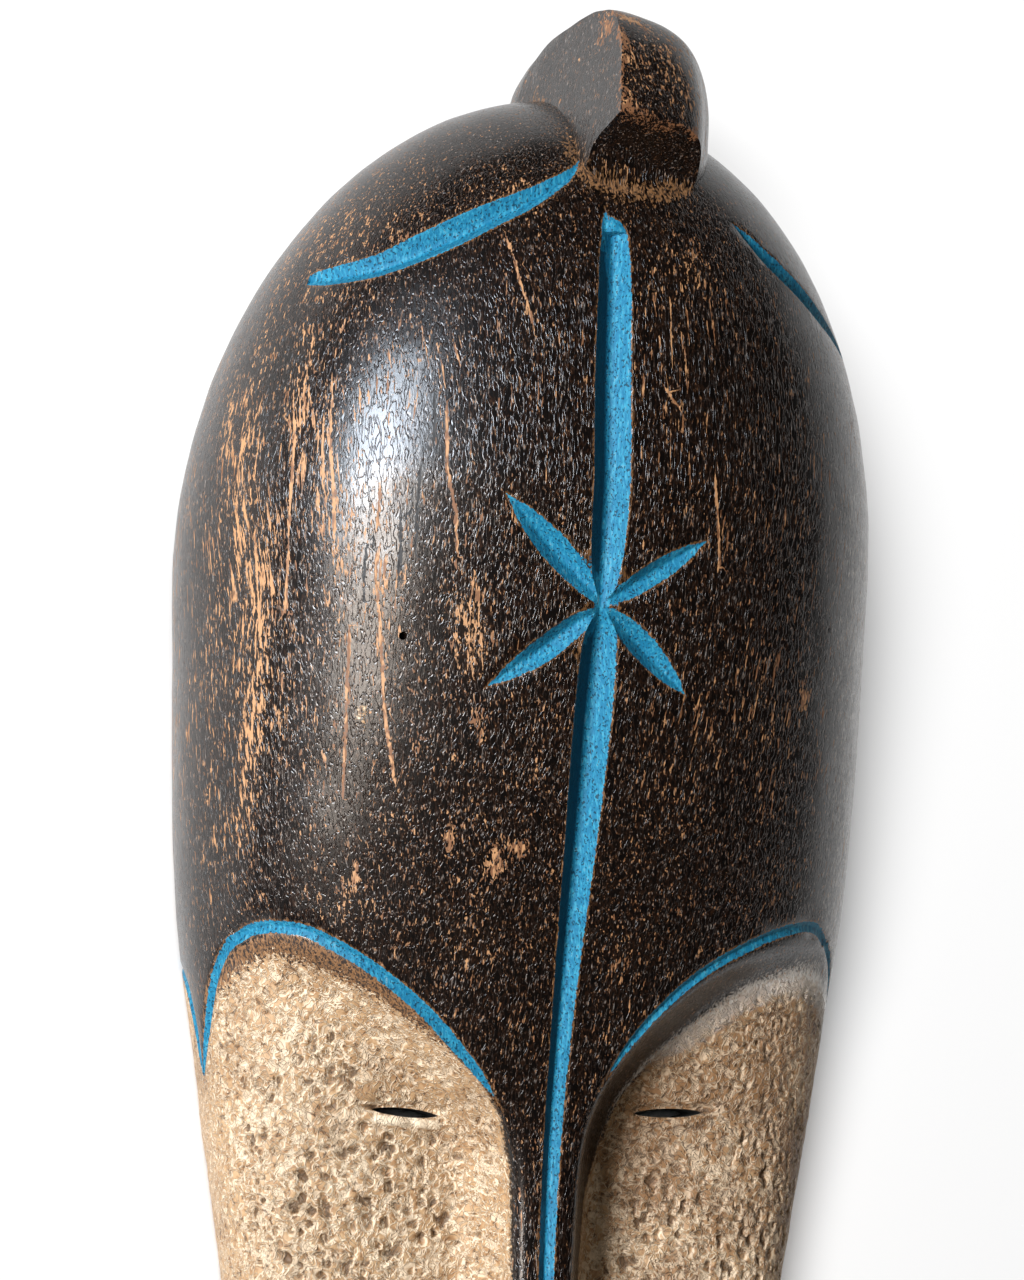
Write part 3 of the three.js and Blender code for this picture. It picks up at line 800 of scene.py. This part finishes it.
# Long bare scratches and dark drying cracks, as lines of s, y.
SCRATCHES = (
    ((-56.5, 184), (-55.9, 162), (-53.5, 142.6), (-51.7, 126.7), (-47, 107)),
    ((-40.5, 204.5), (-39.9, 184), (-36.8, 174), (-35.4, 160)),
    ((-79.9, 200), (-80.4, 184.7), (-79.8, 169.5), (-79.4, 143)),
    ((-70, 205), (-69.9, 191.4), (-67.8, 177), (-66.7, 165)),
    ((-26.6, 246.7), (-24.7, 240), (-22.9, 233), (-20.5, 225), (-18.7, 218)),
    ((10.6, 213), (15, 207), (21.2, 198.7)),
    ((-91, 174.6), (-88.5, 157.3), (-85.8, 140.2)),
    ((-62, 150), (-61, 120), (-60.5, 104)),
    ((28, 190), (31, 172), (31.5, 160)))
CRACKS = (
    ((61.2, 190.5), (61.5, 186), (61.8, 182)), ((71.7, 157.5), (71.4, 153), (71.1, 147)),
    ((72.9, 87), (72.7, 81)), ((89.8, 89.5), (89.6, 83.5)),
    ((-50.7, 176.8), (-50, 166.6), (-50.7, 154)), ((-46.8, 191), (-46.5, 174), (-46.1, 159.7)),
    ((-43.6, 208), (-43.2, 198), (-43.9, 186)), ((-58.4, 172), (-58.8, 160), (-58, 150)))

# Chips down to the bare wood, as short strokes: start, end, half the breadth.
CHIPS = (
    ((-22.1, 88.6), (-15.3, 95.3), 1.5), ((-25.8, 93.3), (-22.8, 95.3), 1.3),
    ((-33.5, 99.2), (-31.4, 87.1), 0.7), ((-58.1, 81.9), (-56.6, 85.1), 1.4),
    ((-56.7, 85.8), (-55.3, 89.7), 1), ((-26.4, 83.9), (-24, 85.1), 1.1),
    ((-44.7, 122.4), (-42.3, 116.6), 0.8), ((-34.5, 120.4), (-33.9, 115.1), 0.6),
    ((-8, 90.2), (-6.1, 92.2), 1.1), ((-29.9, 134.5), (-28.3, 121.7), 0.7),
    ((-26.7, 130.2), (-27.3, 119.4), 0.6), ((61.8, 136.4), (64.2, 135.6), 1))
WHITE_SPOT = (-57.1, 125.7)

# Edges of the topknot that are rubbed to the wood, as lines of x, y, z, the reach of the wear and how much.
RUBBED_EDGES = (
    (((0.3, 276.5, 104), (8, 275, 103), (15, 273.5, 101.5), (21, 272.4, 100)), 1.7, 0.95),
    (((2, 276.5, 103.5), (2, 280, 102.5)), 2.4, 0.8),
    (((2.9, 297, 94), (1.3, 284.2, 100.6), (-0.1, 275.2, 104)), 0.9, 0.75),
    (((1.3, 304.8, 78.6), (2.7, 304.3, 85.1), (4.9, 302.9, 88.9), (8.1, 301.7, 89.6), (11.1, 299.4, 91)),
     1.8, 0.85),
    (((2, 301, 86.5), (2.8, 298.6, 92.5), (3.6, 295.3, 95.3), (3.2, 290, 98)), 1.7, 0.85),
    (((-0.3, 298.5, 82), (2.2, 299, 90)), 2, 0.75),
    (((-6.8, 292.4, 55.8), (-5.3, 290.8, 64.2)), 0.7, 0.6),
    (((-5.6, 282.7, 71.3), (-4.8, 287.4, 70)), 0.7, 0.55),
    (((-0.7, 280.8, 95.4), (0, 284.7, 94.1)), 0.7, 0.6),
    (((-1.7, 296.6, 74), (-0.2, 297.9, 79.3)), 0.9, 0.65),
    (((-5.3, 273.3, 82.9), (-3.3, 276.1, 88.9)), 0.7, 0.5))
# Creases round its foot where the wood shows orange and brown, in the same form.
RUBBED_CREASES = (
    (((-9.2, 286.5, 56), (-9, 281, 66), (-8.3, 276, 74), (-7.4, 270.8, 81.5), (-6.4, 266.4, 87)), 2.6, 1),
    (((-5.3, 263.2, 91), (-1.6, 260.3, 92.4), (3.7, 258.3, 92.6), (10.4, 258, 92), (17.4, 258.8, 90.4),
      (21.7, 261.5, 88)), 2.9, 1))


def worn_amount(s, y):
    """How far the stain has worn, 0 to 1: named patches, broken up into upright bands on the left."""
    amount = np.full(s.shape, 0.05)
    for at_s, at_y, breadth, length, much in WORN:
        amount += much * spot((s - at_s) / breadth, (y - at_y) / length)
    bands = noise(s, y * 0.07, 2.7, 72) * ease((-15 - s) / 45)
    left, right = ease((-38 - s) / 16) * ease((y - 80) / 40), ease((s - 30) / 15) * ease((y - 60) / 30)
    amount += 0.18 * left + 0.04 * right
    uneven = 0.14 * noise(s, y * 0.5, 6, 71) + 0.1 * noise(s, y, 21, 79) + 0.1 * bands
    return clamp01(amount * (1 + 0.5 * bands) + uneven)


def beside_lines(s, y, lines, reach):
    """The signed distance to the nearest line, and a share that is 1 on the lines and fades at their ends."""
    offset, near = np.full(s.shape, 9.0), np.zeros(s.shape)
    for line in lines:
        line = np.array(line, float)
        length = np.linalg.norm(line[-1] - line[0])
        for (s0, y0), (s1, y1) in zip(line, line[1:]):
            step = math.hypot(s1 - s0, y1 - y0)
            along = ((s - s0) * (s1 - s0) + (y - y0) * (y1 - y0)) / step
            side = ((s - s0) * (y1 - y0) - (y - y0) * (s1 - s0)) / step
            done = math.hypot(s0 - line[0][0], y0 - line[0][1])
            here = (along > -0.6) & (along < step + 0.6) & (np.abs(side) < np.minimum(np.abs(offset), reach))
            offset = np.where(here, side, offset)
            ends = clamp01(np.minimum(done + along, length - done - along) / 6 + 0.15)
            near = np.where(here, ends * clamp01((reach - 1.6 - np.abs(side)) / 1.6), near)
    return offset, near


def vertex_places(mesh):
    place = np.empty(len(mesh.vertices) * 3, np.float32)
    mesh.vertices.foreach_get("co", place)
    return place.reshape(-1, 3).astype(float) / MM


def on_topknot(x, y, z):
    """Whether each place is on the topknot."""
    return (y > 256) & (z > np.maximum(form_height(x, y) + 1.2, 60 - 20 * (y > 284)))


def rubbed_along(place, lines):
    """How much is rubbed away along lines through space, 0 to 1."""
    rubbed = np.zeros(len(place))
    for line, reach, much in lines:
        rubbed = np.maximum(rubbed, much * spot(distance_to_line(place, line) / reach))
    return rubbed


def chipped(s, y):
    """1 in the middle of each chip, less outwards."""
    most = np.zeros(s.shape)
    for start, end, breadth in CHIPS:
        away = distance_to_line(np.stack([s, y], -1), (start, end))
        most = np.maximum(most, 1 - 0.4 * away / breadth)
    return most


def stain_and_shade_amount(s, y, x):
    """How brown the white coat is, 0 to 1: stain with painted shade, mostly on the right side, which is
    turned from the light, and painted shade round its eye slit.
    """
    painted_eye_shade = spot((x - EYES[1][0] + 4) / 9, (y - EYES[1][1]) / 5)
    right = (0.6 - 0.3 * ease((s - 38) / 20) * ease((20 - y) / 30)) * ease((s - 14) / 14)
    brown = 0.14 + right + 0.3 * painted_eye_shade
    brown += 0.42 * noise(s, y, 13, 76) + 0.3 * noise(s, y, 5, 77)
    return clamp01(brown)


def right_brow(s, y):
    """1 over the right cheek, fading out at the nose and below."""
    return ease((s - 12) / 14) * ease((y - 14) / 14)


def left_brow(s, y):
    """1 along the left brow, fading out at both its ends and below."""
    return ease((-14 - s) / 8) * ease((y - 42) / 8) * ease((s + 104) / 8)


def dust_and_sheen_amount(s, y, cream, on_knot):
    """White dust with a painted sheen over the right brow, and a painted reflection down the right side of
    the forehead, 0 to 1.
    """
    reach = 4 + 4.5 * ease((s - 30) / 30)
    dust_and_sheen = clamp01((cream + reach) / reach) ** 3 + 0.25 * ease((s - 62) / 14) * (cream > -7)
    dust_and_sheen *= right_brow(s, y)
    dust_and_sheen *= np.where(cream > 0, ease((9 - cream) / 9) * ease((y - 38) / 12), 1)
    return np.maximum(dust_and_sheen, 0.36 * ease((s - 64) / 26) * ease(-cream / 4) * ~on_knot)


def knot_worn(place):
    """How far the topknot's stain has worn: hardly on its two facets."""
    x, y, z = place.T
    facings = (FLANK_FACING, UNDERCUT_FACING)
    flank, undercut = (np.abs((place - LIP_LEFT) @ facing) < 1.2 for facing in facings)
    return np.where(undercut, -2, np.where(flank, -0.2, 0.42 + 0.3 * noise(x + z, y, 4, 75)))


def finish_values(mesh, place):
    """How the surface is finished at each vertex, by the names that the material reads."""
    x, y, z = place.T
    s = unrolled(x, y, z)
    on_knot = on_topknot(x, y, z)
    cream = np.where(on_knot, -9, cream_inside(s, y))
    white_spot = 1.2 - np.hypot(s - WHITE_SPOT[0], (y - WHITE_SPOT[1]) / 2)
    ridges = clamp01((curvature(mesh, place) - 0.09) / 0.35) * np.where(s < 20, 1, 0.5)
    band = 6 - 3.5 * ease((s + 52) / 20)
    rub = left_brow(s, y) * ease((cream + band) / 1.5) * ease((3 - cream) / 4)
    brows = np.maximum(left_brow(s, y), right_brow(s, y))
    scratch, scratched = beside_lines(s, y, SCRATCHES, 4)
    crack, cracked = beside_lines(s, y, CRACKS, 4)
    return {
        # painted shade on the long groove's left wall, which faces away from the light
        "left_wall_painted_shade": np.where(on_knot, 0, left_wall(s, y)),
        "paint": np.where(on_knot, -9, paint_inside(s, y, [*GROOVES, *STAR_ARMS])),
        "cream": np.maximum(cream, white_spot),
        "fray": 0.7 + 2 * ease((np.abs(s) - 55) / 20) + 1.8 * brows,
        # the pits' depth, and painted shade along the eye creases
        "pits_and_crease_shade": np.maximum(pit_depth(s, y), painted_crease_shade(x, y)),
        # how deep in an eye slit a place lies, for the painted shade there
        "deep": slit_depth(x, y, z),
        "worn": np.where(on_knot, knot_worn(place), worn_amount(s, y)),
        "rub": np.maximum(rub, 0.75 * rubbed_along(place, RUBBED_CREASES)),
        # white dust, painted sheen and painted reflection on the right
        "dust_and_sheen": dust_and_sheen_amount(s, y, cream, on_knot),
        "lid": white_lid(s, y),
        # stain, and painted shade on the right and round the right eye
        "stain": stain_and_shade_amount(s, y, x),
        "ridge": np.maximum(np.maximum(ridges, chipped(s, y)) * ~on_knot, rubbed_along(place, RUBBED_EDGES)),
        "scratch": scratch,
        "scratched": scratched,
        "crack": crack,
        "cracked": cracked,
        "raw": (z < 0.3) | (z < hollow_height(x, y) + 1.2),
    }


def swayed(place):
    """Places pushed a little to and fro across the grain, so that it doesn't run dead straight."""
    x, y, z = place.T
    s = unrolled(x, y, z)
    sway = 2.4 * noise(s, y, 38, 73) + 0.9 * noise(s, y, 13, 74)
    return place + np.stack([sway, 0 * sway, sway], 1)


def mark_finish(mesh):
    """Stores, at each vertex, how the surface is finished there."""
    place = vertex_places(mesh)
    grain = mesh.attributes.new("grain", "FLOAT_VECTOR", "POINT")
    grain.data.foreach_set("vector", swayed(place).astype(np.float32).ravel())
    for name, values in finish_values(mesh, place).items():
        layer = mesh.attributes.new(name, "FLOAT", "POINT")
        layer.data.foreach_set("value", np.asarray(values, np.float32))


class Value:
    """A node's output, which takes part in sums and products like a number."""

    def __init__(self, nodes, socket):
        self.nodes = nodes
        self.socket = socket

    def __add__(self, other):
        return self.nodes.math("ADD", self, other)

    def __sub__(self, other):
        return self.nodes.math("SUBTRACT", self, other)

    def __rsub__(self, other):
        return self.nodes.math("SUBTRACT", other, self)

    def __mul__(self, other):
        return self.nodes.math("MULTIPLY", self, other)

    def __abs__(self):
        return self.nodes.math("ABSOLUTE", self)


class Nodes:
    """Adds nodes to one material and links them, so that a pattern reads as an expression."""

    def __init__(self, name):
        self.material = bpy.data.materials.new(name)
        self.material.use_nodes = True
        self.tree = self.material.node_tree
        self.tree.nodes.clear()

    def node(self, kind, inputs, **settings):
        node = self.tree.nodes.new(kind)
        for name, value in settings.items():
            setattr(node, name, value)
        for key, value in inputs.items():
            if isinstance(value, Value):
                self.tree.links.new(value.socket, node.inputs[key])
            else:
                node.inputs[key].default_value = value
        return node

    def add(self, kind, inputs, output=0, **settings):
        return Value(self, self.node(kind, inputs, **settings).outputs[output])

    def math(self, operation, a, b=0.0):
        return self.add("ShaderNodeMath", {0: a, 1: b}, operation=operation)

    def most(self, first, *others):
        for other in others:
            first = self.math("MAXIMUM", first, other)
        return first

    def between(self, value, low, high):
        """0 where value is at low, 1 where it is at high, smooth in between."""
        return self.add("ShaderNodeMapRange", {"Value": value, "From Min": low, "From Max": high},
                        interpolation_type="SMOOTHSTEP")

    def blend(self, share, a, b):
        """Colour a, turning to colour b as share goes from 0 to 1."""
        return self.add("ShaderNodeMix", {0: share, 6: colour(a), 7: colour(b)}, output=2, data_type="RGBA")

    def lerp(self, share, a, b):
        return self.add("ShaderNodeMix", {0: share, 2: a, 3: b}, data_type="FLOAT")

    def attribute(self, name, output=2):
        return self.add("ShaderNodeAttribute", {}, output=output, attribute_name=name)

    def noise(self, place, size, detail=1.0, roughness=0.5, output=0):
        """Noise between 0 and 1 with features about size millimetres along X, Y and Z."""
        shares = tuple(1 / length for length in size)
        scaled = self.add("ShaderNodeVectorMath", {0: place, 1: shares}, operation="MULTIPLY")
        inputs = {"Vector": scaled, "Scale": 1.0, "Detail": detail, "Roughness": roughness}
        return self.add("ShaderNodeTexNoise", inputs, output=output)

    def bent(self, place, size, amount):
        """Places pushed about by up to amount millimetres, in swirls of the given size."""
        inputs = {0: self.noise(place, size, 0.0, output=1), 1: (amount,) * 3, 2: place}
        return self.add("ShaderNodeVectorMath", inputs, operation="MULTIPLY_ADD")

    def turned(self, place, degrees):
        """Places turned about Z."""
        return self.add("ShaderNodeVectorRotate", {"Vector": place, "Angle": math.radians(degrees)},
                        rotation_type="Z_AXIS")

    def veins(self, value, breadth):
        """1 along the level lines where a noise is 0.5, 0 away from them."""
        return 1.0 - self.between(abs(value - 0.5), 0.0, breadth)

    def line(self, offset, near, wiggle, width):
        """1 on a thin line, by the signed distance to it, its fading ends and a wiggle in millimetres."""
        return self.between(near * width - abs(offset + wiggle), 0.0, 0.12)

    def finish(self, shade, height, roughness, gloss=0.5):
        """A shader from a colour, a height in millimetres, a roughness and how much it mirrors."""
        normal = self.add("ShaderNodeBump", {"Height": height, "Strength": 1.0, "Distance": MM})
        inputs = {"Base Color": shade, "Roughness": roughness, "Normal": normal, "Specular IOR Level": gloss}
        return self.add("ShaderNodeBsdfPrincipled", inputs)

    def layered(self, bottom, *layers):
        """The material of one shader, with each further (share, shader) laid over it."""
        for share, shader in layers:
            bottom = self.add("ShaderNodeMixShader", {0: share, 1: bottom, 2: shader})
        self.node("ShaderNodeOutputMaterial", {"Surface": bottom})
        return self.material


def colour(value):
    """A colour with its alpha; anything else stays as it is."""
    return (*value, 1.0) if isinstance(value, tuple) and len(value) == 3 else value


STAIN_BLACK = (0.0022, 0.0014, 0.0011)
STAIN_BROWN = (0.009, 0.0042, 0.0022)
STAIN_THIN = (0.06, 0.031, 0.017)
# Black for the drying cracks, and for the painted shade inside the eye slits.
CRACK_AND_SHADE_BLACK = (0.002, 0.0012, 0.001)
WORN_BROWN = (0.085, 0.034, 0.014)
WORN_ORANGE = (0.19, 0.078, 0.029)
WORN_TAN = (0.47, 0.24, 0.105)
RUBBED_DARK = (0.02, 0.009, 0.004)
RUBBED_TAN = (0.19, 0.088, 0.03)
# Pale grey for white dust, and for painted sheen and reflection.
DUST_AND_SHEEN = (0.66, 0.62, 0.57)
RAW_WOOD = (0.19, 0.1, 0.05)
RAW_DARK = (0.06, 0.03, 0.015)
COAT_TAN = (0.34, 0.186, 0.084)
COAT = (0.48, 0.304, 0.158)
COAT_LIGHT = (0.8, 0.65, 0.465)
# Brown for stain and painted shade in the white coat.
COAT_STAIN_AND_SHADE = (0.25, 0.13, 0.055)
COAT_BROWN = (0.085, 0.043, 0.018)
BLUE = (0.008, 0.137, 0.245)
BLUE_PALE = (0.028, 0.25, 0.37)
BLUE_WORN = (0.14, 0.24, 0.3)
# Dark blue for dirt specks, and for painted shade on the long groove's left wall.
BLUE_DIRT_AND_SHADE = (0.004, 0.03, 0.055)


def dark_stain(n, place):
    """Almost black stain with fine grain and a wrinkled gloss, and tan wood where it has worn through."""
    grain = n.attribute("grain", output=1)
    worn = n.attribute("worn")
    bent = n.bent(place, (1.5, 3.2, 1.5), 1.0)
    threads = n.noise(grain, (0.45, 5, 0.45))
    streaks = n.noise(grain, (0.75, 15, 0.75), 3.0, 0.62)
    flecks = n.noise(bent, (0.55, 2.1, 0.55), 2.0, 0.62)
    wrinkles = n.noise(bent, (0.95, 4.4, 0.95))
    fleck_off = flecks - 0.5
    vein = n.veins(wrinkles, 0.06)
    # Where the bare wood shows.
    streak = n.between(streaks + worn * 0.14 + fleck_off * 0.22, 0.655, 0.683)
    fleck = n.between(flecks + (streaks - 0.5) * 0.3 + worn * 0.12, 0.68, 0.715)
    faint = n.between(flecks + (wrinkles - 0.5) * 0.4, 0.55, 0.64)
    ridge = n.between(n.attribute("ridge") + fleck_off * 2.6, 0.55, 0.68)
    wiggle = fleck_off * 1.6 + (streaks - 0.5) * 1.2
    scratch = n.line(n.attribute("scratch"), n.attribute("scratched"), wiggle, 0.5)
    crack = n.line(n.attribute("crack"), n.attribute("cracked"), wiggle, 0.45)
    bare = n.most(streak, fleck, ridge, scratch)
    # The stain, the dust and painted sheen on it, and the wood under it.
    stain = n.blend(n.between(threads, 0.45, 0.75), STAIN_BLACK, STAIN_BROWN)
    stain = n.blend(n.most(faint, vein * 0.5) * 0.25, stain, WORN_BROWN)
    stain = n.blend(n.between(worn, 0.15, 0.9) * 0.12, stain, STAIN_THIN)
    dust_and_sheen_share = n.attribute("dust_and_sheen") + (threads - 0.5) * 1.1 + fleck_off * 1.3
    stain = n.blend(n.between(dust_and_sheen_share, 0.15, 1.0), stain, DUST_AND_SHEEN)
    tan = n.blend(n.between(wrinkles + worn * 0.25, 0.48, 0.66), WORN_ORANGE, WORN_TAN)
    shade = n.blend(crack, n.blend(bare, stain, tan), CRACK_AND_SHADE_BLACK)
    # Brown wood where it is rubbed, and along the edges of the paint.
    rub = n.between(n.attribute("rub") + fleck_off * 2.4, 0.3, 0.7)
    rubbed = n.blend(n.between(threads + fleck_off + fleck_off, 0.4, 0.62), RUBBED_DARK, RUBBED_TAN)
    rubbed = n.blend(vein * 0.25, rubbed, WORN_TAN)
    shade = n.blend(rub, shade, rubbed)
    rim = n.between(n.attribute("paint") + fleck_off, -0.5, -0.1)
    shade = n.blend(rim * 0.6, shade, rubbed)
    height = flecks * 0.04 - vein * 0.05
    return n.finish(shade, height, n.lerp(n.most(bare, rub, crack), 0.25, 0.6), 0.6)


def white_coat(n, place):
    """A thick whitish coat, laid on in short strokes, pitted and brown in its recesses, with painted shade
    along the eye creases.
    """
    bent = n.bent(place, (2.4, 2.4, 2.4), 2.2)
    crust = n.noise(bent, (1.5, 1.5, 1.5), 2.0, 0.6)
    strokes = n.veins(n.noise(n.turned(bent, 35), (1, 6.5, 1.5)), 0.05)
    crossing = n.veins(n.noise(n.turned(bent, -55), (1.2, 6, 1.5)), 0.045)
    light = n.most(strokes, crossing)
    pits_and_crease_shade = n.attribute("pits_and_crease_shade")
    # Stain, with painted shade on the right side and round the right eye.
    stained = n.attribute("stain")
    coat = n.blend(n.between(crust, 0.36, 0.62), COAT_TAN, COAT)
    coat = n.blend(n.between(stained + (0.5 - crust) * 0.8, 0.1, 1.0), coat, COAT_STAIN_AND_SHADE)
    rim = n.between(pits_and_crease_shade, 0.02, 0.1) - n.between(pits_and_crease_shade, 0.2, 0.4)
    lit = n.most(light * 0.9, rim * 0.7) * (1.0 - stained * 0.55)
    coat = n.blend(lit, coat, COAT_LIGHT)
    specks = n.between(stained * 0.1 - crust, -0.35, -0.28)
    low = n.most(n.between(pits_and_crease_shade + (crust - 0.5), 0.3, 0.75), specks * 0.75)
    coat = n.blend(low * 0.85, coat, COAT_BROWN)
    lid = n.between(n.attribute("lid") + (crust - 0.5) * 0.5, 0.4, 0.7)
    coat = n.blend(lid, coat, COAT_LIGHT)
    # White dust and painted sheen over the right brow.
    dust_and_sheen_share = n.between(n.attribute("dust_and_sheen") + (0.5 - crust) * 0.9, 0.2, 1.0)
    coat = n.blend(dust_and_sheen_share * 0.6, coat, DUST_AND_SHEEN)
    height = crust * 0.16 + light * 0.24 - pits_and_crease_shade * 0.5 - specks * 0.2
    return n.finish(coat, height, 0.6)


def blue_paint(n, place):
    """Chalky blue paint, streaky and a little dirty, with small pits, and painted shade on the long groove's
    left wall.
    """
    brush = n.noise(place, (0.7, 3.2, 0.7), 2.0, 0.65)
    specks = n.noise(n.bent(place, (1, 1.4, 1), 0.9), (0.55, 0.8, 0.55))
    paint = n.blend(n.between(brush, 0.42, 0.68), BLUE, BLUE_PALE)
    worn = n.between(brush + (specks - 0.5) * 0.5, 0.62, 0.74)
    paint = n.blend(worn * 0.65, paint, BLUE_WORN)
    dirty = n.between(specks, 0.6, 0.66)
    paint = n.blend(dirty * 0.85, paint, BLUE_DIRT_AND_SHADE)
    # Painted shade: the long groove's left wall, which faces away from the light, is darkened.
    paint = n.blend(n.between(n.attribute("left_wall_painted_shade"), 0.08, 0.3) * 0.85, paint, BLUE_DIRT_AND_SHADE)
    height = specks * 0.12 - dirty * 0.12 + brush * 0.12
    return n.finish(paint, height, 0.55, 0.2)


def raw_wood(n, place):
    """Unpainted wood inside, with its grain."""
    grain = n.noise(place, (1.1, 22, 1.1), 2.0, 0.6)
    fine = n.noise(place, (0.4, 6, 0.4))
    shade = n.blend(n.between(grain * 0.7 + fine * 0.3, 0.36, 0.66), RAW_DARK, RAW_WOOD)
    return n.finish(shade, fine * 0.2, 0.75)


def painted_slit_shade(n):
    """Painted shade inside the eye slits: a black, rough finish."""
    return n.add("ShaderNodeBsdfPrincipled", {"Base Color": colour(CRACK_AND_SHADE_BLACK), "Roughness": 0.9})


def mask_finish():
    n = Nodes("stained_wood")
    place = n.add("ShaderNodeVectorMath", {0: n.add("ShaderNodeTexCoord", {}, output=3), "Scale": 1 / MM},
                  operation="SCALE")
    rag = n.noise(place, (0.9, 1.1, 0.9), 2.0, 0.6) - 0.5
    cream = n.between(n.attribute("cream") + rag * n.attribute("fray") * 2.6, -0.4, 0.3)
    blue = n.between(n.attribute("paint") + rag * 0.9, 0.07, 0.2)
    # Painted shade: black deep inside the eye slits.
    deep = n.between(n.attribute("deep"), 2.0, 3.2)
    return n.layered(dark_stain(n, place), (cream, white_coat(n, place)), (blue, blue_paint(n, place)),
                     (n.attribute("raw"), raw_wood(n, place)), (deep, painted_slit_shade(n)))


FLOOR_HALF = 4
WORLD_STRENGTH = 0.015
LIT_PLACE = (0, 120, 60)  # what the lights aim at, in millimetres
# Each light's elevation and azimuth in degrees, distance, size, power and colour.
LIGHTS = {
    "key": (42, 168.5, 1.6, (0.7, 0.62), 43, (0.78, 0.88, 1)),
    "low_key": (44.5, 187.5, 1.6, (0.6, 0.55), 18, (1, 0.86, 0.73)),
    "fill": (66, 182, 2, (2.2, 2.2), 4.5, (1, 0.95, 0.88)),
    "side_fill": (45, 5, 2, (2, 2), 4.5, (1, 0.93, 0.84)),
    "floor_light": (65, 142, 2.5, (1.25, 1.25), 84, (1, 1, 1)),
}
NOT_MIRRORED = ("fill", "side_fill")

# The photograph's view: angles in degrees, distance and target in millimetres, focal length in its pixels.
VIEW_ANGLES = (16, 6, 1.016)
VIEW_DISTANCE = 1300
VIEW_TARGET = (-9.893, 149.471, 50)
VIEW_FOCAL, PHOTO_HEIGHT = 5136.96, 1280
SENSOR = 36


def floor():
    corners = [(x * FLOOR_HALF, y * FLOOR_HALF, 0) for x, y in ((-1, -1), (1, -1), (1, 1), (-1, 1))]
    mesh = bpy.data.meshes.new("floor")
    mesh.from_pydata(corners, [], [(0, 1, 2, 3)])
    n = Nodes("pale_floor")
    pale = n.add("ShaderNodeBsdfPrincipled", {"Base Color": (0.93, 0.93, 0.93, 1), "Roughness": 0.9})
    mesh.materials.append(n.layered(pale))
    plane = in_scene(bpy.data.objects.new("floor", mesh))
    return plane


def softbox(name, elevation, azimuth, distance, size, power, tint):
    """A rectangular soft light, aimed at the forehead."""
    e, a = math.radians(elevation), math.radians(azimuth)
    way = Vector((math.cos(e) * math.cos(a), math.cos(e) * math.sin(a), math.sin(e)))
    light = bpy.data.lights.new(name, "AREA")
    light.shape = "RECTANGLE"
    light.size, light.size_y = size
    light.energy = power
    light.color = tint
    lamp = in_scene(bpy.data.objects.new(name, light))
    lamp.location = Vector(LIT_PLACE) * MM + way * distance
    lamp.rotation_euler = way.to_track_quat("Z", "Y").to_euler()
    return lamp


def only_on(lamp, thing):
    """The lamp lights one thing and leaves the others to the rest of the studio."""
    lit = bpy.data.collections.new(lamp.name + "_lights")
    lit.objects.link(thing)
    lamp.light_linking.receiver_collection = lit


def camera():
    """The photograph's view: a long lens that looks down, from a little to the left and below."""
    turn, tilt, roll = (math.radians(angle) for angle in VIEW_ANGLES)
    back = Vector((-math.sin(turn) * math.cos(tilt), -math.sin(tilt), math.cos(turn) * math.cos(tilt)))
    right = Vector((0, 1, 0)).cross(back).normalized()
    up = back.cross(right)
    right, up = right * math.cos(roll) + up * math.sin(roll), up * math.cos(roll) - right * math.sin(roll)
    lens = bpy.data.cameras.new("camera")
    lens.sensor_width = SENSOR
    lens.lens = VIEW_FOCAL / PHOTO_HEIGHT * SENSOR
    eye = in_scene(bpy.data.objects.new("camera", lens))
    place = Vector(VIEW_TARGET) * MM + back * (VIEW_DISTANCE * MM)
    eye.matrix_world = Matrix.Translation(place) @ Matrix((right, up, back)).transposed().to_4x4()
    bpy.context.scene.camera = eye


def faint_world():
    """A faint even light from all round."""
    world = bpy.data.worlds.new("studio")
    bpy.context.scene.world = world
    world.use_nodes = True
    background = world.node_tree.nodes["Background"]
    background.inputs["Color"].default_value = (1, 1, 1, 1)
    background.inputs["Strength"].default_value = WORLD_STRENGTH


def studio(thing):
    """The floor and the lights: one lights only the floor and the others only the thing shown."""
    ground = floor()
    lamps = {name: softbox(name, *settings) for name, settings in LIGHTS.items()}
    for name in NOT_MIRRORED:
        lamps[name].visible_glossy = False
    only_on(lamps.pop("floor_light"), ground)
    for lamp in lamps.values():
        only_on(lamp, thing)
    faint_world()
    bpy.context.scene.view_settings.view_transform = "Standard"


mask = carved_mask()
thin_out(mask, MOST_TRIANGLES)
mask.name = mask.data.name = "mask_carving"
mark_finish(mask.data)
mask.data.shade_smooth()
mask.data.set_sharp_from_angle(angle=math.radians(SHARP_ANGLE))
mask.data.materials.clear()
mask.data.materials.append(mask_finish())
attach(mask, "root")
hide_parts(MASK)
studio(mask)
camera()
